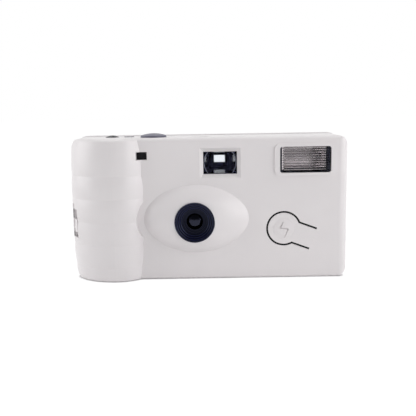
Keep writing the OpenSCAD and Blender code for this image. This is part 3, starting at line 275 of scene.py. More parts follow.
class Finish:
    """A node material with one principled surface and helpers for its procedural detail."""

    def __init__(self, name, **constants):
        self.material = bpy.data.materials.new(name)
        self.material.use_nodes = True
        tree = self.material.node_tree
        tree.nodes.clear()
        self.nodes = tree.nodes
        self.links = tree.links
        self.out = self.nodes.new("ShaderNodeOutputMaterial")
        self.surface = self.nodes.new("ShaderNodeBsdfPrincipled")
        self.links.new(self.surface.outputs["BSDF"], self.out.inputs["Surface"])
        for socket, value in constants.items():
            self.surface.inputs[socket.replace("_", " ")].default_value = value
        self.place = self.nodes.new("ShaderNodeTexCoord").outputs["Object"]
        self.height = None

    def moved(self, shift):
        """Object coordinates moved so that shift is the origin."""
        node = self.nodes.new("ShaderNodeMapping")
        node.vector_type = "TEXTURE"
        node.inputs["Location"].default_value = shift
        self.links.new(self.place, node.inputs["Vector"])
        return node.outputs["Vector"]

    def noise(self, scale, detail=3.0):
        """Cloudy factor."""
        node = self.nodes.new("ShaderNodeTexNoise")
        node.inputs["Scale"].default_value = scale
        node.inputs["Detail"].default_value = detail
        node.inputs["Roughness"].default_value = NOISE_ROUGHNESS
        self.links.new(self.place, node.inputs["Vector"])
        return node.outputs["Fac"]

    def bands(self, scale, kind="BANDS", direction="Z", vector=None):
        """Factor in even bands along a direction, or in rings round it."""
        node = self.nodes.new("ShaderNodeTexWave")
        node.wave_type = kind
        if kind == "BANDS":
            node.bands_direction = direction
        else:
            node.rings_direction = direction
        node.inputs["Scale"].default_value = scale
        self.links.new(vector or self.place, node.inputs["Vector"])
        return node.outputs["Fac"]

    def cells(self, scale):
        """Factor that grows from the edges of small cells."""
        node = self.nodes.new("ShaderNodeTexVoronoi")
        node.feature = "DISTANCE_TO_EDGE"
        node.inputs["Scale"].default_value = scale
        self.links.new(self.place, node.inputs["Vector"])
        return node.outputs["Distance"]

    def along(self, axis, start, end, low=0.0, high=1.0):
        """Runs from low to high between two places on an axis."""
        split = self.nodes.new("ShaderNodeSeparateXYZ")
        node = self.nodes.new("ShaderNodeMapRange")
        node.inputs["From Min"].default_value = start
        node.inputs["From Max"].default_value = end
        node.inputs["To Min"].default_value = low
        node.inputs["To Max"].default_value = high
        self.links.new(self.place, split.inputs["Vector"])
        self.links.new(split.outputs[axis], node.inputs["Value"])
        return node.outputs["Result"]

    def outward(self, axis_spot, start, end):
        """Runs from 0 to 1 with the distance from an axis along Y."""
        flat = self.nodes.new("ShaderNodeVectorMath")
        flat.operation = "MULTIPLY"
        flat.inputs[1].default_value = (1.0, 0.0, 1.0)
        self.links.new(self.moved(axis_spot), flat.inputs[0])
        reach = self.nodes.new("ShaderNodeVectorMath")
        reach.operation = "LENGTH"
        self.links.new(flat.outputs["Vector"], reach.inputs[0])
        node = self.nodes.new("ShaderNodeMapRange")
        node.inputs["From Min"].default_value = start
        node.inputs["From Max"].default_value = end
        self.links.new(reach.outputs["Value"], node.inputs["Value"])
        return node.outputs["Result"]

    def product(self, one, two):
        """Two factors multiplied."""
        node = self.nodes.new("ShaderNodeMath")
        node.operation = "MULTIPLY"
        self.links.new(one, node.inputs[0])
        self.links.new(two, node.inputs[1])
        return node.outputs["Value"]

    def tint(self, factor, low, high, start=0.35, end=0.65):
        """Base colour that runs from low to high with factor."""
        ramp = self.nodes.new("ShaderNodeValToRGB")
        ramp.color_ramp.elements[0].position = start
        ramp.color_ramp.elements[1].position = end
        ramp.color_ramp.elements[0].color = (*low, 1.0)
        ramp.color_ramp.elements[1].color = (*high, 1.0)
        self.links.new(factor, ramp.inputs["Fac"])
        self.links.new(ramp.outputs["Color"], self.surface.inputs["Base Color"])

    def gloss(self, factor, low, high):
        """Roughness that runs from low to high with factor."""
        node = self.nodes.new("ShaderNodeMapRange")
        node.inputs["From Min"].default_value = NOISE_LOW
        node.inputs["From Max"].default_value = NOISE_HIGH
        node.inputs["To Min"].default_value = low
        node.inputs["To Max"].default_value = high
        self.links.new(factor, node.inputs["Value"])
        self.links.new(node.outputs["Result"], self.surface.inputs["Roughness"])

    def relief(self, factor, depth, strength=1.0):
        """Bump of the given depth in metres, laid over any bump before it."""
        node = self.nodes.new("ShaderNodeBump")
        node.inputs["Strength"].default_value = strength
        node.inputs["Distance"].default_value = depth
        self.links.new(factor, node.inputs["Height"])
        if self.height:
            self.links.new(self.height, node.inputs["Normal"])
        self.height = node.outputs["Normal"]
        self.links.new(self.height, self.surface.inputs["Normal"])


def shade(colour, factor):
    """A colour scaled towards black or white."""
    return tuple(min(1.0, c * factor) for c in colour)


def moulded_white(s):
    f = Finish("moulded_white", Specular_IOR_Level=0.5, IOR=1.5)
    f.tint(f.noise(scale=38.0, detail=4.0), s.shell_shade, s.shell, start=0.3, end=0.6)
    f.gloss(f.noise(scale=420.0), low=0.30, high=0.34)
    f.relief(f.noise(scale=s.grain, detail=2.0), depth=6 * MICRON, strength=0.3)
    f.relief(f.noise(scale=90.0, detail=2.0), depth=30 * MICRON, strength=0.12)
    return f.material


def moulded_black(s, name="moulded_black", low=0.36, high=0.5, level=0.2, grain=0.5):
    f = Finish(name, Specular_IOR_Level=level)
    f.tint(f.noise(scale=160.0, detail=5.0), s.moulded, s.moulded_shade, start=0.45, end=0.75)
    f.gloss(f.noise(scale=700.0), low, high)
    f.relief(f.noise(scale=s.grain * 0.8, detail=2.0), depth=20 * MICRON, strength=grain)
    return f.material


def ribbed_ring(s):
    low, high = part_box("lens_ring")
    centre = (low + high) / 2
    f = Finish("ribbed_ring", Specular_IOR_Level=0.3, Specular_Tint=(*BLOOMED_RING, 1.0))
    step = f.outward(centre, RING_STEP, RING_STEP + RING_STEP_WIDTH)
    ribs = f.product(f.bands(scale=420.0, kind="RINGS", direction="Y", vector=f.moved(centre)), step)
    # Painted light: the rib crests are coloured lighter as painted highlights, and the valleys and smooth
    # inner zone darker as painted shade
    f.tint(ribs, shade(s.ring, 0.7), shade(s.ring, 4.2), start=0.3, end=0.95)
    f.gloss(step, low=0.55, high=0.16)
    f.relief(ribs, depth=180 * MICRON)
    return f.material


def button_grey(s):
    f = Finish("button_grey", Specular_IOR_Level=0.5)
    f.tint(f.noise(scale=300.0, detail=4.0), s.button_shade, s.button, start=0.3, end=0.7)
    f.gloss(f.noise(scale=900.0), low=0.32, high=0.42)
    f.relief(f.noise(scale=s.grain, detail=2.0), depth=20 * MICRON, strength=0.4)
    return f.material


def clear_plastic(name, colour, low, high, ior=ACRYLIC_IOR, mirror=(1.0, 1.0, 1.0)):
    f = Finish(name, Transmission_Weight=1.0, IOR=ior, Specular_Tint=(*mirror, 1.0))
    f.tint(f.noise(scale=120.0), shade(colour, 0.97), colour)
    f.gloss(f.noise(scale=600.0), low, high)
    return f.material


def flash_span():
    """Start and end of the zone where the far end of the flash window and reflector is painted darker, as
    painted shade.
    """
    low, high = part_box("flash_reflector")
    return low.x + PAINTED_SHADE_START * (high.x - low.x), low.x + PAINTED_SHADE_FULL * (high.x - low.x)


def flash_plastic(s):
    f = Finish("flash_diffuser", Transmission_Weight=1.0, IOR=ACRYLIC_IOR, Specular_Tint=(*BLOOMED, 1.0))
    first_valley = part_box("flash_reflector")[1] + Vector((0.0, 0.0, RIB_PITCH / 2))
    valleys = f.bands(RIB_SCALE, vector=f.moved(first_valley))
    # Painted shade: the diffuser's colour darkens in the rib valleys, and more so towards the far end
    shadow = f.product(valleys, f.along("X", *flash_span(), RIB_SHADE, FAR_RIB_SHADE))
    f.tint(shadow, s.diffuser, (0.0, 0.0, 0.0), start=0.0, end=1.0)
    f.gloss(f.noise(scale=1500.0), low=0.01, high=0.03)
    return f.material


def bright_metal(name, colour, low, high, streaks):
    f = Finish(name, Metallic=1.0)
    f.tint(f.noise(scale=260.0, detail=5.0), shade(colour, 0.86), colour)
    f.gloss(f.noise(scale=1200.0), low, high)
    f.relief(f.bands(streaks, direction="X"), depth=10 * MICRON, strength=0.2)
    return f.material


def plated_reflector(s):
    f = Finish("plated_reflector", Metallic=1.0)
    # Painted shade: the plating's colour darkens slightly towards the far end
    f.tint(f.along("X", *flash_span()), s.plating, shade(s.plating, 0.95), start=0.0, end=1.0)
    f.gloss(f.noise(scale=1200.0), low=0.16, high=0.26)
    f.relief(f.bands(scale=700.0, direction="X"), depth=10 * MICRON, strength=0.2)
    return f.material


def blackened_steel(s):
    f = Finish("blackened_steel", Metallic=0.6)
    f.tint(f.noise(scale=400.0, detail=4.0), s.moulded, s.moulded_shade)
    f.gloss(f.noise(scale=900.0), low=0.5, high=0.65)
    f.relief(f.bands(scale=1500.0, direction="X"), depth=10 * MICRON, strength=0.2)
    return f.material


def film_finish(s):
    f = Finish("film_base", Coat_Weight=0.5, Coat_Roughness=0.1)
    f.tint(f.noise(scale=80.0), s.film, shade(s.film, 1.5))
    f.gloss(f.noise(scale=300.0), low=0.18, high=0.3)
    f.relief(f.bands(scale=900.0), depth=10 * MICRON, strength=0.3)
    return f.material


def laminate(s):
    f = Finish("board_laminate", Coat_Weight=0.3, Coat_Roughness=0.2)
    f.tint(f.cells(scale=260.0), shade(s.board, 2.0), s.board, start=0.03, end=0.08)
    f.gloss(f.noise(scale=600.0), low=0.35, high=0.5)
    f.relief(f.cells(scale=260.0), depth=40 * MICRON, strength=0.4)
    return f.material


def wound_copper(s):
    f = Finish("wound_copper", Metallic=1.0)
    f.tint(f.bands(scale=1500.0), shade(s.copper, 0.5), s.copper, start=0.2, end=0.7)
    f.gloss(f.noise(scale=800.0), low=0.25, high=0.4)
    f.relief(f.bands(scale=1500.0), depth=100 * MICRON, strength=0.8)
    return f.material


def sleeve(name, colour, band):
    f = Finish(name, Coat_Weight=0.4, Coat_Roughness=0.15)
    f.tint(f.bands(scale=12.0, direction="X"), colour, band, start=0.88, end=0.93)
    f.gloss(f.noise(scale=400.0), low=0.25, high=0.4)
    f.relief(f.noise(scale=900.0), depth=40 * MICRON, strength=0.3)
    return f.material


def painted_sheet(s):
    f = Finish("cartridge_sheet", Coat_Weight=0.6, Coat_Roughness=0.12)
    f.tint(f.bands(scale=9.0), s.cartridge, s.cartridge_band, start=0.6, end=0.66)
    f.gloss(f.noise(scale=500.0), low=0.2, high=0.32)
    f.relief(f.noise(scale=700.0), depth=40 * MICRON, strength=0.3)
    return f.material


def ivory(s):
    f = Finish("counter_ivory", Specular_IOR_Level=0.5)
    f.tint(f.noise(scale=300.0), s.ivory_shade, s.ivory)
    f.gloss(f.noise(scale=700.0), low=0.4, high=0.55)
    f.relief(f.noise(scale=3000.0), depth=20 * MICRON, strength=0.3)
    return f.material


def printed_black(s):
    f = Finish("printed_black", Specular_IOR_Level=0.4)
    f.tint(f.noise(scale=2500.0), s.ink, s.ink_shade)
    f.gloss(f.noise(scale=1800.0), low=0.45, high=0.65)
    return f.material


def painted_slot_shade(s):
    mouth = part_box("front_cover")[0].x
    f = Finish("painted_slot_shade", Specular_IOR_Level=0.2)
    # Painted shade: dark near the slots' mouth, paling inside towards a shaded copy of the shell's white
    depth = f.along("X", mouth + DARK_LIP, mouth + PALE_LIP)
    f.tint(depth, s.slot_shade_sheet, shade(s.shell, 0.85), start=0.0, end=1.0)
    f.gloss(f.noise(scale=900.0), low=0.5, high=0.7)
    f.relief(f.noise(scale=s.grain, detail=2.0), depth=20 * MICRON, strength=0.4)
    return f.material


def painted_edge_highlight(s):
    f = Finish("painted_edge_highlight", Specular_IOR_Level=0.3)
    # Painted highlight: pale arcs along the finder lens's edge
    f.tint(f.noise(scale=900.0), shade(s.lens_edge, 0.6), s.lens_edge)
    f.gloss(f.noise(scale=1500.0), low=0.4, high=0.6)
    f.relief(f.noise(scale=5000.0), depth=20 * MICRON, strength=0.5)
    return f.material


# Shared making


def wear(material, *names):
    """Gives CAD nodes their finish."""
    for name in names:
        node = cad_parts[name]
        node.data.materials.clear()
        node.data.materials.append(material)


def new_piece(name, mesh, material, body):
    """Links a mesh as a piece that rides on a body."""
    piece = bpy.data.objects.new(name, mesh)
    bpy.context.scene.collection.objects.link(piece)
    piece.data.materials.append(material)
    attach(piece, body)
    return piece


def raised(name, outline, depth):
    """Mesh of a flat outline in XY, raised along Z with a small bevel round its top."""
    mesh = bpy.data.meshes.new(name)
    bm = bmesh.new()
    face = bm.faces.new([bm.verts.new((x, y, 0.0)) for x, y in outline])
    risen = bmesh.ops.extrude_face_region(bm, geom=[face])
    top = [v for v in risen["geom"] if isinstance(v, bmesh.types.BMVert)]
    bmesh.ops.translate(bm, verts=top, vec=(0.0, 0.0, depth))
    rim = [e for e in bm.edges if all(v.co.z > depth / 2 for v in e.verts)]
    bmesh.ops.bevel(
        bm, geom=rim, offset=depth * RIM_BEVEL, segments=RIM_SEGMENTS, affect="EDGES", profile=RIM_PROFILE
    )
    bmesh.ops.recalc_face_normals(bm, faces=bm.faces)
    bm.to_mesh(mesh)
    bm.free()
    return mesh


def skinned(name, rows):
    """Mesh of closed strips, each skinned over a row of rings of points."""
    bm = bmesh.new()
    for row in rows:
        rings = [[bm.verts.new(point) for point in ring] for ring in row]
        for one, two in zip(rings, rings[1:]):
            for k in range(len(one)):
                bm.faces.new((one[k - 1], one[k], two[k], two[k - 1]))
        bm.faces.new(rings[0])
        bm.faces.new(reversed(rings[-1]))
    bmesh.ops.recalc_face_normals(bm, faces=bm.faces)
    mesh = bpy.data.meshes.new(name)
    bm.to_mesh(mesh)
    bm.free()
    return mesh


def swept(name, runs, section):
    """Mesh of a section carried along runs of points with their sides; the section's depth is along Y."""
    rows = []
    for run in runs:
        rows.append([[point + side * a + Vector((0.0, b, 0.0)) for a, b in section] for point, side in run])
    return skinned(name, rows)


def coil(name, low, high, axis, wire, pitch):
    """Mesh of a round wire of radius wire, wound along an axis through a node's box."""
    u = Vector([float(k == axis) for k in range(3)])
    a = Vector([float(k == (axis + 1) % 3) for k in range(3)])
    b = u.cross(a)
    radius = (high - low).dot(a) / 2 - wire
    span = (high - low).dot(u) - 2 * wire
    steps = COIL_STEPS * max(2, round(span / pitch))
    arc = radius * 2 * math.pi / COIL_STEPS
    row = []
    for i in range(steps + 1):
        angle = 2 * math.pi * i / COIL_STEPS
        out = a * math.cos(angle) + b * math.sin(angle)
        ahead = u * span / steps + (b * math.cos(angle) - a * math.sin(angle)) * arc
        over = ahead.normalized().cross(out)
        spot = (low + high) / 2 + out * radius + u * span * (i / steps - 0.5)
        turns = [2 * math.pi * k / WIRE_SIDES for k in range(WIRE_SIDES)]
        row.append([spot + (out * math.cos(t) + over * math.sin(t)) * wire for t in turns])
    return skinned(name, [row])


def cut_corners(w, h, cut):
    """Outline of a rectangle of half sides w and h with its corners cut."""
    return [
        (-w + cut, -h), (w - cut, -h), (w, -h + cut), (w, h - cut),
        (w - cut, h), (-w + cut, h), (-w, h - cut), (-w, -h + cut),
    ]


# Operators


class FILMCAM_OT_shell(bpy.types.Operator):
    """Finish the white covers, door and charge key"""

    bl_idname = "filmcam.shell"
    bl_label = "White covers"

    def execute(self, context):
        s = context.scene.filmcam_finish
        wear(moulded_white(s), "front_cover", "back_cover", "cartridge_door", "flash_button")
        return {"FINISHED"}


class FILMCAM_OT_mouldings(bpy.types.Operator):
    """Finish the black mouldings of chassis, transport and finder"""

    bl_idname = "filmcam.mouldings"
    bl_label = "Black mouldings"

    def execute(self, context):
        s = context.scene.filmcam_finish
        wear(
            moulded_black(s),
            "chassis", "mechanism_plate", "shutter_cover", "strike_lever", "metering_lever", "cartridge_caps",
            "cartridge_spool", "sprocket", "supply_spool", "board_components", "flash_housing",
        )
        finder = moulded_black(s, "finder_black", low=0.07, high=0.12, level=0.08, grain=0.05)
        wear(finder, "viewfinder_frame")
        wear(moulded_black(s, "wheel_black", low=0.4, high=0.55), "thumbwheel")
        return {"FINISHED"}


class FILMCAM_OT_optics(bpy.types.Operator):
    """Finish the lens, its ring, the finder and the windows"""

    bl_idname = "filmcam.optics"
    bl_label = "Lens and windows"

    def execute(self, context):
        s = context.scene.filmcam_finish
        wear(ribbed_ring(s), "lens_ring")
        lens = clear_plastic("lens_plastic", s.lens, low=0.02, high=0.024, mirror=BLOOMED_LENS)
        wear(lens, "taking_lens")
        finder = clear_plastic("finder_plastic", s.clear, low=0.02, high=0.024, mirror=BLOOMED_FINDER)
        wear(finder, "viewfinder_front_lens", "viewfinder_eyepiece")
        smoked = clear_plastic("smoked_plastic", s.smoked, low=0.03, high=0.06, mirror=BLOOMED)
        wear(smoked, "counter_window", "ready_lamp")
        return {"FINISHED"}


class FILMCAM_OT_strap_slots(bpy.types.Operator):
    """Line the two strap slots with a grey plate on their rear wall, as painted shade"""

    bl_idname = "filmcam.strap_slots"
    bl_label = "Strap slots"

    def execute(self, context):
        d = context.scene.filmcam_detail
        lining = painted_slot_shade(context.scene.filmcam_finish)
        low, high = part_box("front_cover")
        t = d.slot_shade_sheet
        slots = (("low", d.slot_low, d.slot_low_top), ("high", d.slot_high, d.slot_high_top))
        for name, foot, head in slots:
            w, h = d.slot_depth / 2, (head - foot) / 2
            mesh = raised("strap_slot_" + name, cut_corners(w, h, t), t)
            spot = Vector((low.x + t + w, high.y - d.slot_rear, (foot + head) / 2))
            mesh.transform(Matrix.Translation(spot) @ Matrix.Rotation(math.radians(90.0), 4, "X"))
            new_piece("strap_slot_" + name, mesh, lining, "camera")
        return {"FINISHED"}


class FILMCAM_OT_lens_edge(bpy.types.Operator):
    """Lay a pale arc at the finder lens's edge behind it, on each side of the opening, as a painted highlight
    """

    bl_idname = "filmcam.lens_edge"
    bl_label = "Finder lens edge"

    def execute(self, context):
        s = context.scene.filmcam_finish
        d = context.scene.filmcam_detail
        low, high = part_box("viewfinder_front_lens")
        centre = Vector(((low.x + high.x) / 2, high.y, (low.z + high.z) / 2))
        half = d.edge_width / 2
        section = [(-half, 0.0), (half, 0.0), (half * EDGE_TAPER, half), (-half * EDGE_TAPER, half)]
        runs = []
        for middle in (0.0, math.pi):
            run = []
            for i in range(EDGE_STEPS + 1):
                angle = middle + (2 * i / EDGE_STEPS - 1) * EDGE_HALF_ANGLE
                out = Vector((math.cos(angle), 0.0, math.sin(angle)))
                run.append((centre + out * d.edge_radius, out))
            runs.append(run)
        mesh = swept("finder_lens_edge", runs, section)
        new_piece("finder_lens_edge", mesh, painted_edge_highlight(s), "camera")
        return {"FINISHED"}


class FILMCAM_OT_key_slot(bpy.types.Operator):
    """Lay a black strip in the slot round the charge key, as painted shade"""

    bl_idname = "filmcam.key_slot"
    bl_label = "Charge key slot"

    def execute(self, context):
        d = context.scene.filmcam_detail
        low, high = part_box("flash_button")
        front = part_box("front_cover")[1].y - FRONT_DEPTH
        turn = Matrix.Rotation(d.tongue_slope, 3, "Y")
        hub = Vector((low.x + d.key_radius, front + d.shade_strip_sunk, high.z - d.key_radius))
        r = d.key_radius + d.key_slot / 2
        w = d.tongue_half + d.key_slot / 2
        neck = math.asin(w / r)
        flat = [(Vector((d.tongue_length, 0.0, w)), Vector((0.0, 0.0, 1.0)))]
        for i in range(SLOT_STEPS + 1):
            angle = neck + i / SLOT_STEPS * (2 * math.pi - 2 * neck)
            out = Vector((math.cos(angle), 0.0, math.sin(angle)))
            flat.append((out * r, out))
        flat.append((Vector((d.tongue_length, 0.0, -w)), Vector((0.0, 0.0, -1.0))))
        half, t = d.shade_strip_width / 2, d.shade_strip_depth
        lip, drop = (1.0 - SHADE_STRIP_BEVEL) * half, SHADE_STRIP_BEVEL * t
        section = [(-half, t), (half, t), (half, drop), (lip, 0.0), (-lip, 0.0), (-half, drop)]
        run = [(hub + turn @ point, turn @ side) for point, side in flat]
        mesh = swept("key_slot_shade_strip", [run], section)
        new_piece("key_slot_shade_strip", mesh, bpy.data.materials["moulded_black"], "camera")
        return {"FINISHED"}


class FILMCAM_OT_flash(bpy.types.Operator):
    """Finish the flash window, reflector and tube"""

    bl_idname = "filmcam.flash"
    bl_label = "Flash"

    def execute(self, context):
        s = context.scene.filmcam_finish
        wear(flash_plastic(s), "flash_window")
        wear(plated_reflector(s), "flash_reflector")
        wear(clear_plastic("tube_glass", s.tube, low=0.01, high=0.04, ior=GLASS_IOR), "flash_tube")
        return {"FINISHED"}


class FILMCAM_OT_controls(bpy.types.Operator):
    """Finish the shutter button and the sheet-metal pieces"""

    bl_idname = "filmcam.controls"
    bl_label = "Controls"

    def execute(self, context):
        s = context.scene.filmcam_finish
        wear(button_grey(s), "shutter_button")
        steel = bright_metal("spring_steel", s.steel, low=0.22, high=0.38, streaks=1500.0)
        wear(steel, "winding_pawl", "battery_contacts")
        wear(blackened_steel(s), "shutter_blade")
        brass = bright_metal("contact_brass", s.brass, low=0.24, high=0.4, streaks=1300.0)
        wear(brass, "charge_contact", "sync_contact")
        return {"FINISHED"}


class FILMCAM_OT_springs(bpy.types.Operator):
    """Wind the button's spring and the two lever springs from round wire"""

    bl_idname = "filmcam.springs"
    bl_label = "Springs"

    def execute(self, context):
        d = context.scene.filmcam_detail
        steel = bpy.data.materials["spring_steel"]
        for node, axis, wire, pitch in (
            ("button_spring", 2, d.button_wire, OPEN_PITCH),
            ("striker_spring", 2, d.lever_wire, CLOSE_PITCH),
            ("blade_spring", 1, d.lever_wire, CLOSE_PITCH),
        ):
            low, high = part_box(node)
            mesh = coil(node + "_coil", low, high, axis, wire, wire * pitch)
            mesh.shade_smooth()
            piece = new_piece(node + "_coil", mesh, steel, "camera")
            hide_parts(node)
            if node == "button_spring":
                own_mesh(piece)
        return {"FINISHED"}


class FILMCAM_OT_film(bpy.types.Operator):
    """Finish the film and its cartridge"""

    bl_idname = "filmcam.film"
    bl_label = "Film"

    def execute(self, context):
        s = context.scene.filmcam_finish
        wear(film_finish(s), "film_strip", "film_roll")
        wear(painted_sheet(s), "cartridge_can")
        return {"FINISHED"}


class FILMCAM_OT_electronics(bpy.types.Operator):
    """Finish the circuit board, capacitor, windings and battery"""

    bl_idname = "filmcam.electronics"
    bl_label = "Electronics"

    def execute(self, context):
        s = context.scene.filmcam_finish
        wear(laminate(s), "circuit_board")
        wear(wound_copper(s), "transformer", "trigger_coil")
        wear(sleeve("capacitor_sleeve", s.capacitor, s.capacitor_band), "main_capacitor")
        wear(sleeve("battery_sleeve", s.battery, s.battery_band), "battery")
        return {"FINISHED"}


class FILMCAM_OT_counter(bpy.types.Operator):
    """Print the numbers and strokes on the counter disc"""

    bl_idname = "filmcam.counter"
    bl_label = "Counter disc"

    def execute(self, context):
        s = context.scene.filmcam_finish
        d = context.scene.filmcam_detail
        wear(ivory(s), "counter_disc")
        ink = printed_black(s)
        low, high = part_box("counter_disc")
        centre = Vector(((low.x + high.x) / 2, (low.y + high.y) / 2, high.z + PRINT_LIFT))
        bm = bmesh.new()
        marks = d.exposures + BLANK_MARKS
        for count in range(d.exposures + 1):
            spin = FIRST_MARK + count * 2 * math.pi / marks
            turn = Matrix.Translation(centre) @ Matrix.Rotation(spin, 4, "Z")
            if count % NUMBER_EVERY:
                self.stroke(bm, turn, d)
            else:
                self.number(context, bm, str(d.exposures - count), turn, d)
        mesh = bpy.data.meshes.new("counter_numbers")
        bm.to_mesh(mesh)
        bm.free()
        new_piece("counter_numbers", mesh, ink, "counter")
        return {"FINISHED"}

    def stroke(self, bm, turn, d):
        half = d.numeral * STROKE_HALF
        near = d.numeral_ring
        far = near + d.numeral * STROKE_REACH
        corners = [(-half, near), (half, near), (half, far), (-half, far)]
        bm.faces.new([bm.verts.new(turn @ Vector((x, y, 0.0))) for x, y in corners])

    def number(self, context, bm, text, turn, d):
        curve = bpy.data.curves.new("number", "FONT")
        curve.body = text
        curve.size = d.numeral
        curve.align_x = "CENTER"
        curve.align_y = "CENTER"
        holder = bpy.data.objects.new("number", curve)
        context.scene.collection.objects.link(holder)
        flat = holder.to_mesh()
        reach = d.numeral_ring + d.numeral * NUMBER_RISE
        flat.transform(turn @ Matrix.Translation((0.0, reach, 0.0)))
        bm.from_mesh(flat)
        holder.to_mesh_clear()
        bpy.data.objects.remove(holder)
        bpy.data.curves.remove(curve)


class FILMCAM_OT_arrow(bpy.types.Operator):
    """Print the winding arrow on the back beside the thumbwheel"""

    bl_idname = "filmcam.arrow"
    bl_label = "Winding arrow"

    def execute(self, context):
        d = context.scene.filmcam_detail
        tip, neck = d.arrow / 2, d.arrow * ARROW_NECK
        shaft, head = d.arrow * ARROW_SHAFT, d.arrow * ARROW_HEAD
        outline = [
            (-tip, -shaft), (neck, -shaft), (neck, -head), (tip, 0.0),
            (neck, head), (neck, shaft), (-tip, shaft),
        ]
        mesh = raised("winding_arrow", outline, d.relief + ARROW_ROOT)
        wheel_low, wheel_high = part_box("thumbwheel")
        middle = (wheel_low.x + wheel_high.x) / 2
        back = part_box("back_cover")[1].y
        spot = Vector((middle + ARROW_ASIDE, back - ARROW_ROOT, wheel_high.z - ARROW_DROP))
        mesh.transform(Matrix.Translation(spot) @ Matrix.Rotation(math.radians(-90.0), 4, "X"))
        ink = bpy.data.materials["printed_black"]
        new_piece("winding_arrow", mesh, ink, "camera")
        return {"FINISHED"}


class FILMCAM_OT_stage(bpy.types.Operator):
    """Set the view, the lights and the pale floor"""

    bl_idname = "filmcam.stage"
    bl_label = "Stage"

    def execute(self, context):
        t = context.scene.filmcam_stage
        self.view(context, t)
        self.lights(context, t)
        self.floor(context, t)
        self.surroundings(context, t)
        context.scene.view_settings.view_transform = "Standard"
        return {"FINISHED"}

    def view(self, context, t):
        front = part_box("front_cover")[1].y - FRONT_DEPTH
        ahead = Vector((0.0, math.cos(t.pitch), -math.sin(t.pitch)))
        flat = Vector((1.0, 0.0, 0.0))
        upright = flat.cross(ahead)
        right = flat * math.cos(t.roll) + upright * math.sin(t.roll)
        up = upright * math.cos(t.roll) - flat * math.sin(t.roll)
        place = Matrix((right, up, -ahead)).transposed().to_4x4()
        place.translation = Vector((-t.aside, front - t.distance, t.height))
        lens = bpy.data.cameras.new("view")
        lens.lens = t.focal
        lens.sensor_width = SENSOR_WIDTH
        lens.clip_start = NEAR_CLIP
        eye = bpy.data.objects.new("view", lens)
        eye.matrix_world = place
        context.scene.collection.objects.link(eye)
        context.scene.camera = eye

    def panel(self, context, name, watts, size, spot):
        lamp = bpy.data.lights.new(name, "AREA")
        lamp.shape = "RECTANGLE"
        lamp.size, lamp.size_y = size
        lamp.energy = watts
        holder = bpy.data.objects.new(name, lamp)
        holder.location = spot
        holder.rotation_euler = (Vector(LIGHT_AIM) - Vector(spot)).to_track_quat("-Z", "Y").to_euler()
        context.scene.collection.objects.link(holder)

    def lights(self, context, t):
        self.panel(context, "left_panel", t.side_left, SIDE_PANEL, LEFT_SPOT)
        self.panel(context, "right_panel", t.side_right, SIDE_PANEL, RIGHT_SPOT)
        self.panel(context, "top_panel", t.overhead, TOP_PANEL, TOP_SPOT)

    def seen_white(self, tree, lit, strength):
        """Mixes lit with plain white for rays that look straight, by mirror or through clear plastic."""
        path = tree.nodes.new("ShaderNodeLightPath")
        look = path.outputs["Is Camera Ray"]
        for kind in ("Is Glossy Ray", "Is Transmission Ray"):
            most = tree.nodes.new("ShaderNodeMath")
            most.operation = "MAXIMUM"
            tree.links.new(look, most.inputs[0])
            tree.links.new(path.outputs[kind], most.inputs[1])
            look = most.outputs["Value"]
        share = tree.nodes.new("ShaderNodeMath")
        share.operation = "MULTIPLY"
        tree.links.new(look, share.inputs[0])
        if isinstance(strength, float):
            share.inputs[1].default_value = strength
        else:
            tree.links.new(strength, share.inputs[1])
        mix = tree.nodes.new("ShaderNodeMixShader")
        tree.links.new(share.outputs["Value"], mix.inputs["Fac"])
        tree.links.new(lit, mix.inputs[1])
        return mix

    def floor(self, context, t):
        mesh = bpy.data.meshes.new("floor")
        r = FLOOR_REACH
        mesh.from_pydata([(-r, -r, 0.0), (r, -r, 0.0), (r, r, 0.0), (-r, r, 0.0)], [], [(0, 1, 2, 3)])
        plane = bpy.data.objects.new("floor", mesh)
        plane.location.z = -FLOOR_DROP
        context.scene.collection.objects.link(plane)
        f = Finish("pale_floor", Roughness=0.9, Specular_IOR_Level=0.0)
        f.tint(f.noise(scale=6.0), shade(t.floor, 0.99), t.floor)
        white = f.nodes.new("ShaderNodeEmission")
        white.inputs["Strength"].default_value = FLOOR_GLOW
        near = f.nodes.new("ShaderNodeAmbientOcclusion")
        near.samples = CONTACT_SAMPLES
        near.inputs["Distance"].default_value = t.contact
        open_floor = f.nodes.new("ShaderNodeMapRange")
        open_floor.inputs["From Min"].default_value = CONTACT_DARK
        open_floor.inputs["From Max"].default_value = CONTACT_OPEN
        open_floor.inputs["To Max"].default_value = FLOOR_WHITE
        f.links.new(near.outputs["AO"], open_floor.inputs["Value"])
        mix = self.seen_white(f.material.node_tree, f.surface.outputs["BSDF"], open_floor.outputs["Result"])
        f.links.new(white.outputs["Emission"], mix.inputs[2])
        f.links.new(mix.outputs["Shader"], f.out.inputs["Surface"])
        mesh.materials.append(f.material)

    def dim_front(self, tree, seen):
        """Dims the white that mirror rays meet in front of the object, where the studio is open."""
        way = tree.nodes.new("ShaderNodeSeparateXYZ")
        tree.links.new(tree.nodes.new("ShaderNodeTexCoord").outputs["Generated"], way.inputs["Vector"])
        ramp = tree.nodes.new("ShaderNodeMapRange")
        ramp.inputs["From Min"].default_value = OPEN_EDGE
        ramp.inputs["From Max"].default_value = WHITE_EDGE
        ramp.inputs["To Min"].default_value = OPEN_SIDE
        tree.links.new(way.outputs["Y"], ramp.inputs["Value"])
        most = tree.nodes.new("ShaderNodeMath")
        most.operation = "MAXIMUM"
        tree.links.new(ramp.outputs["Result"], most.inputs[0])
        tree.links.new(tree.nodes.new("ShaderNodeLightPath").outputs["Is Camera Ray"], most.inputs[1])
        tree.links.new(most.outputs["Value"], seen.inputs["Strength"])

